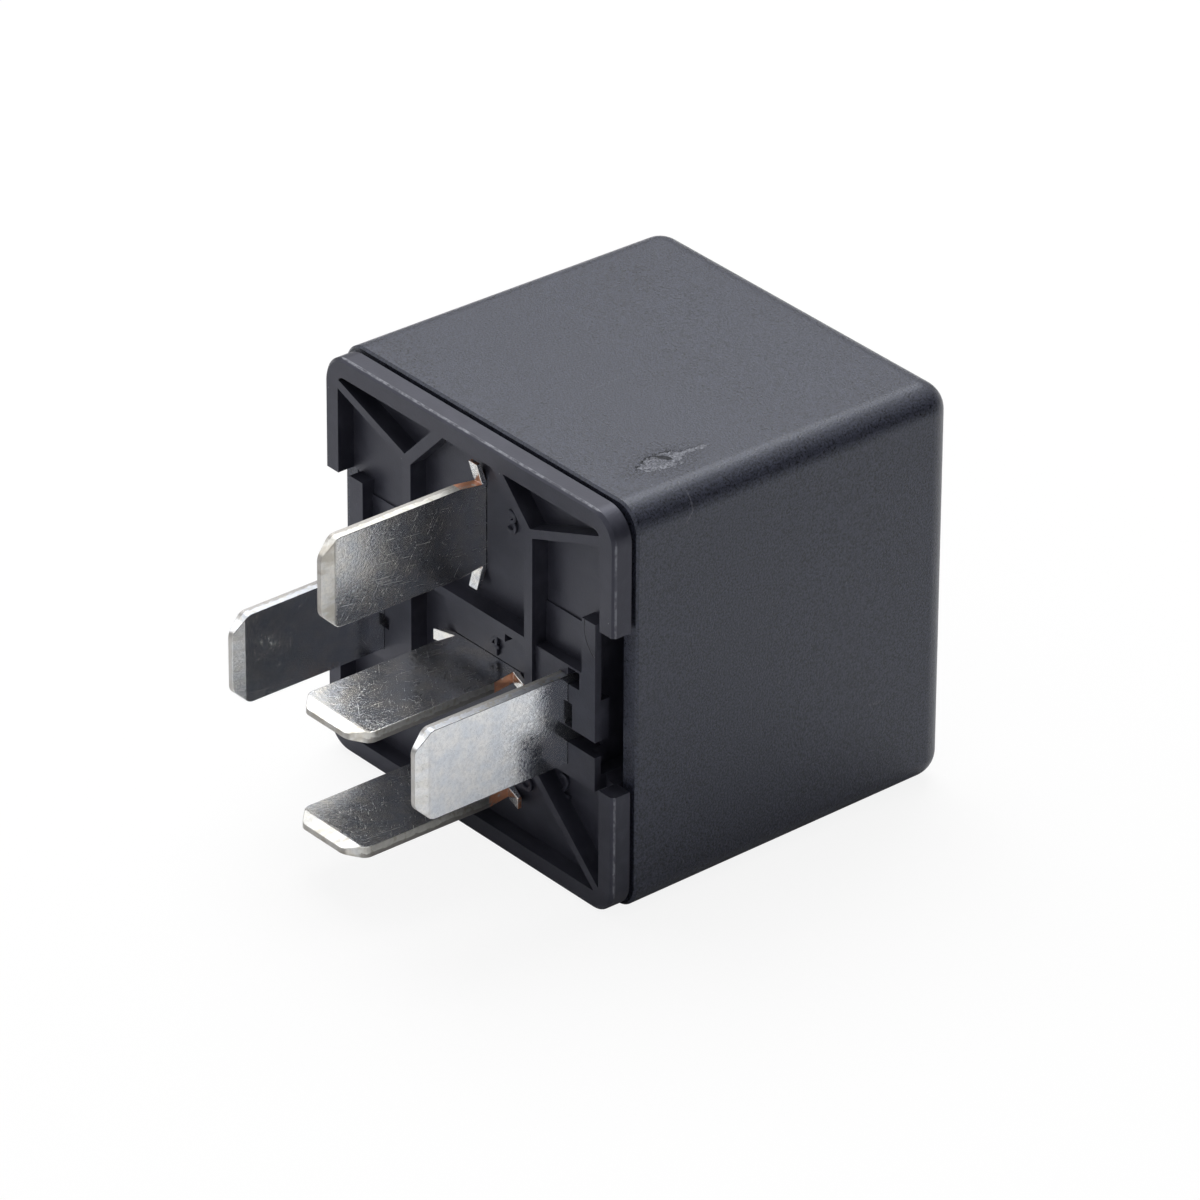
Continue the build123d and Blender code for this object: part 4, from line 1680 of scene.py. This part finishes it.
@dataclass
class Lamp:
    """A soft square lamp that looks at the relay."""

    name: str
    place: Vector
    size: float
    power: float

    def build(self) -> None:
        """Hangs the lamp."""
        light = bpy.data.lights.new(self.name, "AREA")
        light.size = self.size
        light.energy = self.power
        holder = added(self.name, light)
        turn = (self.place - LAMP_TARGET).to_track_quat("Z", "Y")
        holder.matrix_world = Matrix.Translation(self.place) @ turn.to_matrix().to_4x4()


@dataclass
class Studio:
    """The white sky and floor, the soft lamps and the camera of the photograph."""

    azimuth: float = math.radians(50.2616)
    elevation: float = math.radians(29.8793)
    roll: float = math.radians(0.3076)
    camera_place: Vector = field(default_factory=lambda: at(394.852, -317.540, 293.538))
    lens: float = 282.67
    sky: float = 0.40
    horizon: float = 0.16
    right: float = 0.06
    floor_glow: float = 0.88
    lamps: tuple[Lamp, ...] = (
        Lamp("lamp_top", Vector((-0.28, 0.20, 0.72)), 0.60, 5.4),
        Lamp("lamp_front", Vector((0.35, -0.75, 0.45)), 0.50, 0.5),
        Lamp("lamp_side", Vector((-0.70, -0.45, 0.40)), 0.50, 0.6),
    )

    def build(self) -> None:
        """Builds the studio round the relay."""
        bpy.context.scene.view_settings.view_transform = "Standard"
        self.world()
        self.floor()
        for lamp in self.lamps:
            lamp.build()
        self.camera()

    def world(self) -> None:
        """Makes a sky that is seen as white, lights softly, and is dim low down and to the right."""
        world = bpy.data.worlds.new("white_sky")
        kit = ShaderKit.of(world)
        path = kit.add("ShaderNodeLightPath").outputs
        towards = kit.add("ShaderNodeTexCoord").outputs["Generated"]
        parts = kit.add("ShaderNodeSeparateXYZ", {}, {0: towards}).outputs
        height = abs(Signal(kit, parts["Z"]))
        to_right = Signal(kit, parts["X"]).rise(0.10, 0.45) * height.rise(0.74, 0.52)
        dome = height.rise(0.06, 0.42).spread(self.horizon, 1.0) * to_right.spread(1.0, self.right)
        mirrored = Signal(kit, path["Is Glossy Ray"]) + Signal(kit, path["Is Transmission Ray"])
        as_light = mirrored.smaller(1.0).spread(self.sky, 1.0) * dome
        strength = as_light.larger(Signal(kit, path["Is Camera Ray"]))
        sky = kit.add("ShaderNodeBackground", {}, {"Color": (1.0, 1.0, 1.0), "Strength": strength})
        kit.add("ShaderNodeOutputWorld", {}, {"Surface": sky.outputs[0]})
        bpy.context.scene.world = world

    def floor(self) -> None:
        """Lays a white floor that keeps a faint shadow."""
        form = bmesh.new()
        bmesh.ops.create_grid(form, x_segments=1, y_segments=1, size=3.0)
        floor = added("floor", mesh_from(form, "floor"))
        material = bpy.data.materials.new("white_floor")
        kit = ShaderKit.of(material)
        seen = Signal(kit, kit.add("ShaderNodeLightPath").outputs["Is Camera Ray"])
        tone = kit.tinted((0.93, 0.93, 0.93), (0.98, 0.98, 0.98), seen)
        matt = kit.add("ShaderNodeBsdfDiffuse", {}, {"Color": tone})
        glow = kit.add("ShaderNodeEmission", {}, {"Color": (1.0, 1.0, 1.0), "Strength": 1.0})
        sockets = {0: seen * self.floor_glow, 1: matt.outputs[0], 2: glow.outputs[0]}
        mixed = kit.add("ShaderNodeMixShader", {}, sockets)
        kit.add("ShaderNodeOutputMaterial", {}, {"Surface": mixed.outputs[0]})
        floor.data.materials.append(material)

    def camera(self) -> None:
        """Sets the camera where the photograph was taken from."""
        a, e, roll = self.azimuth, self.elevation, self.roll
        back = Vector((math.sin(a) * math.cos(e), -math.cos(a) * math.cos(e), math.sin(e)))
        right = Vector((math.cos(a), math.sin(a), 0.0))
        up = back.cross(right)
        turned_right = right * math.cos(roll) + up * math.sin(roll)
        turned_up = up * math.cos(roll) - right * math.sin(roll)
        camera = bpy.data.cameras.new("photo_camera")
        camera.lens = self.lens
        camera.sensor_width = 36.0
        camera.clip_start = 0.05
        camera.clip_end = 20.0
        holder = added("photo_camera", camera)
        turn = Matrix((turned_right, turned_up, back)).transposed().to_4x4()
        holder.matrix_world = Matrix.Translation(self.camera_place) @ turn
        bpy.context.scene.camera = holder


def main() -> None:
    """Builds the relay's sub-assemblies in order, and the studio round them."""
    logging.basicConfig(level=logging.INFO, format="%(message)s")
    for assembly in (Housing(), BladeSet(), Magnet(), ContactSet(), Studio()):
        log.info("building %s", type(assembly).__name__)
        assembly.build()


if __name__ == "__main__":
    main()
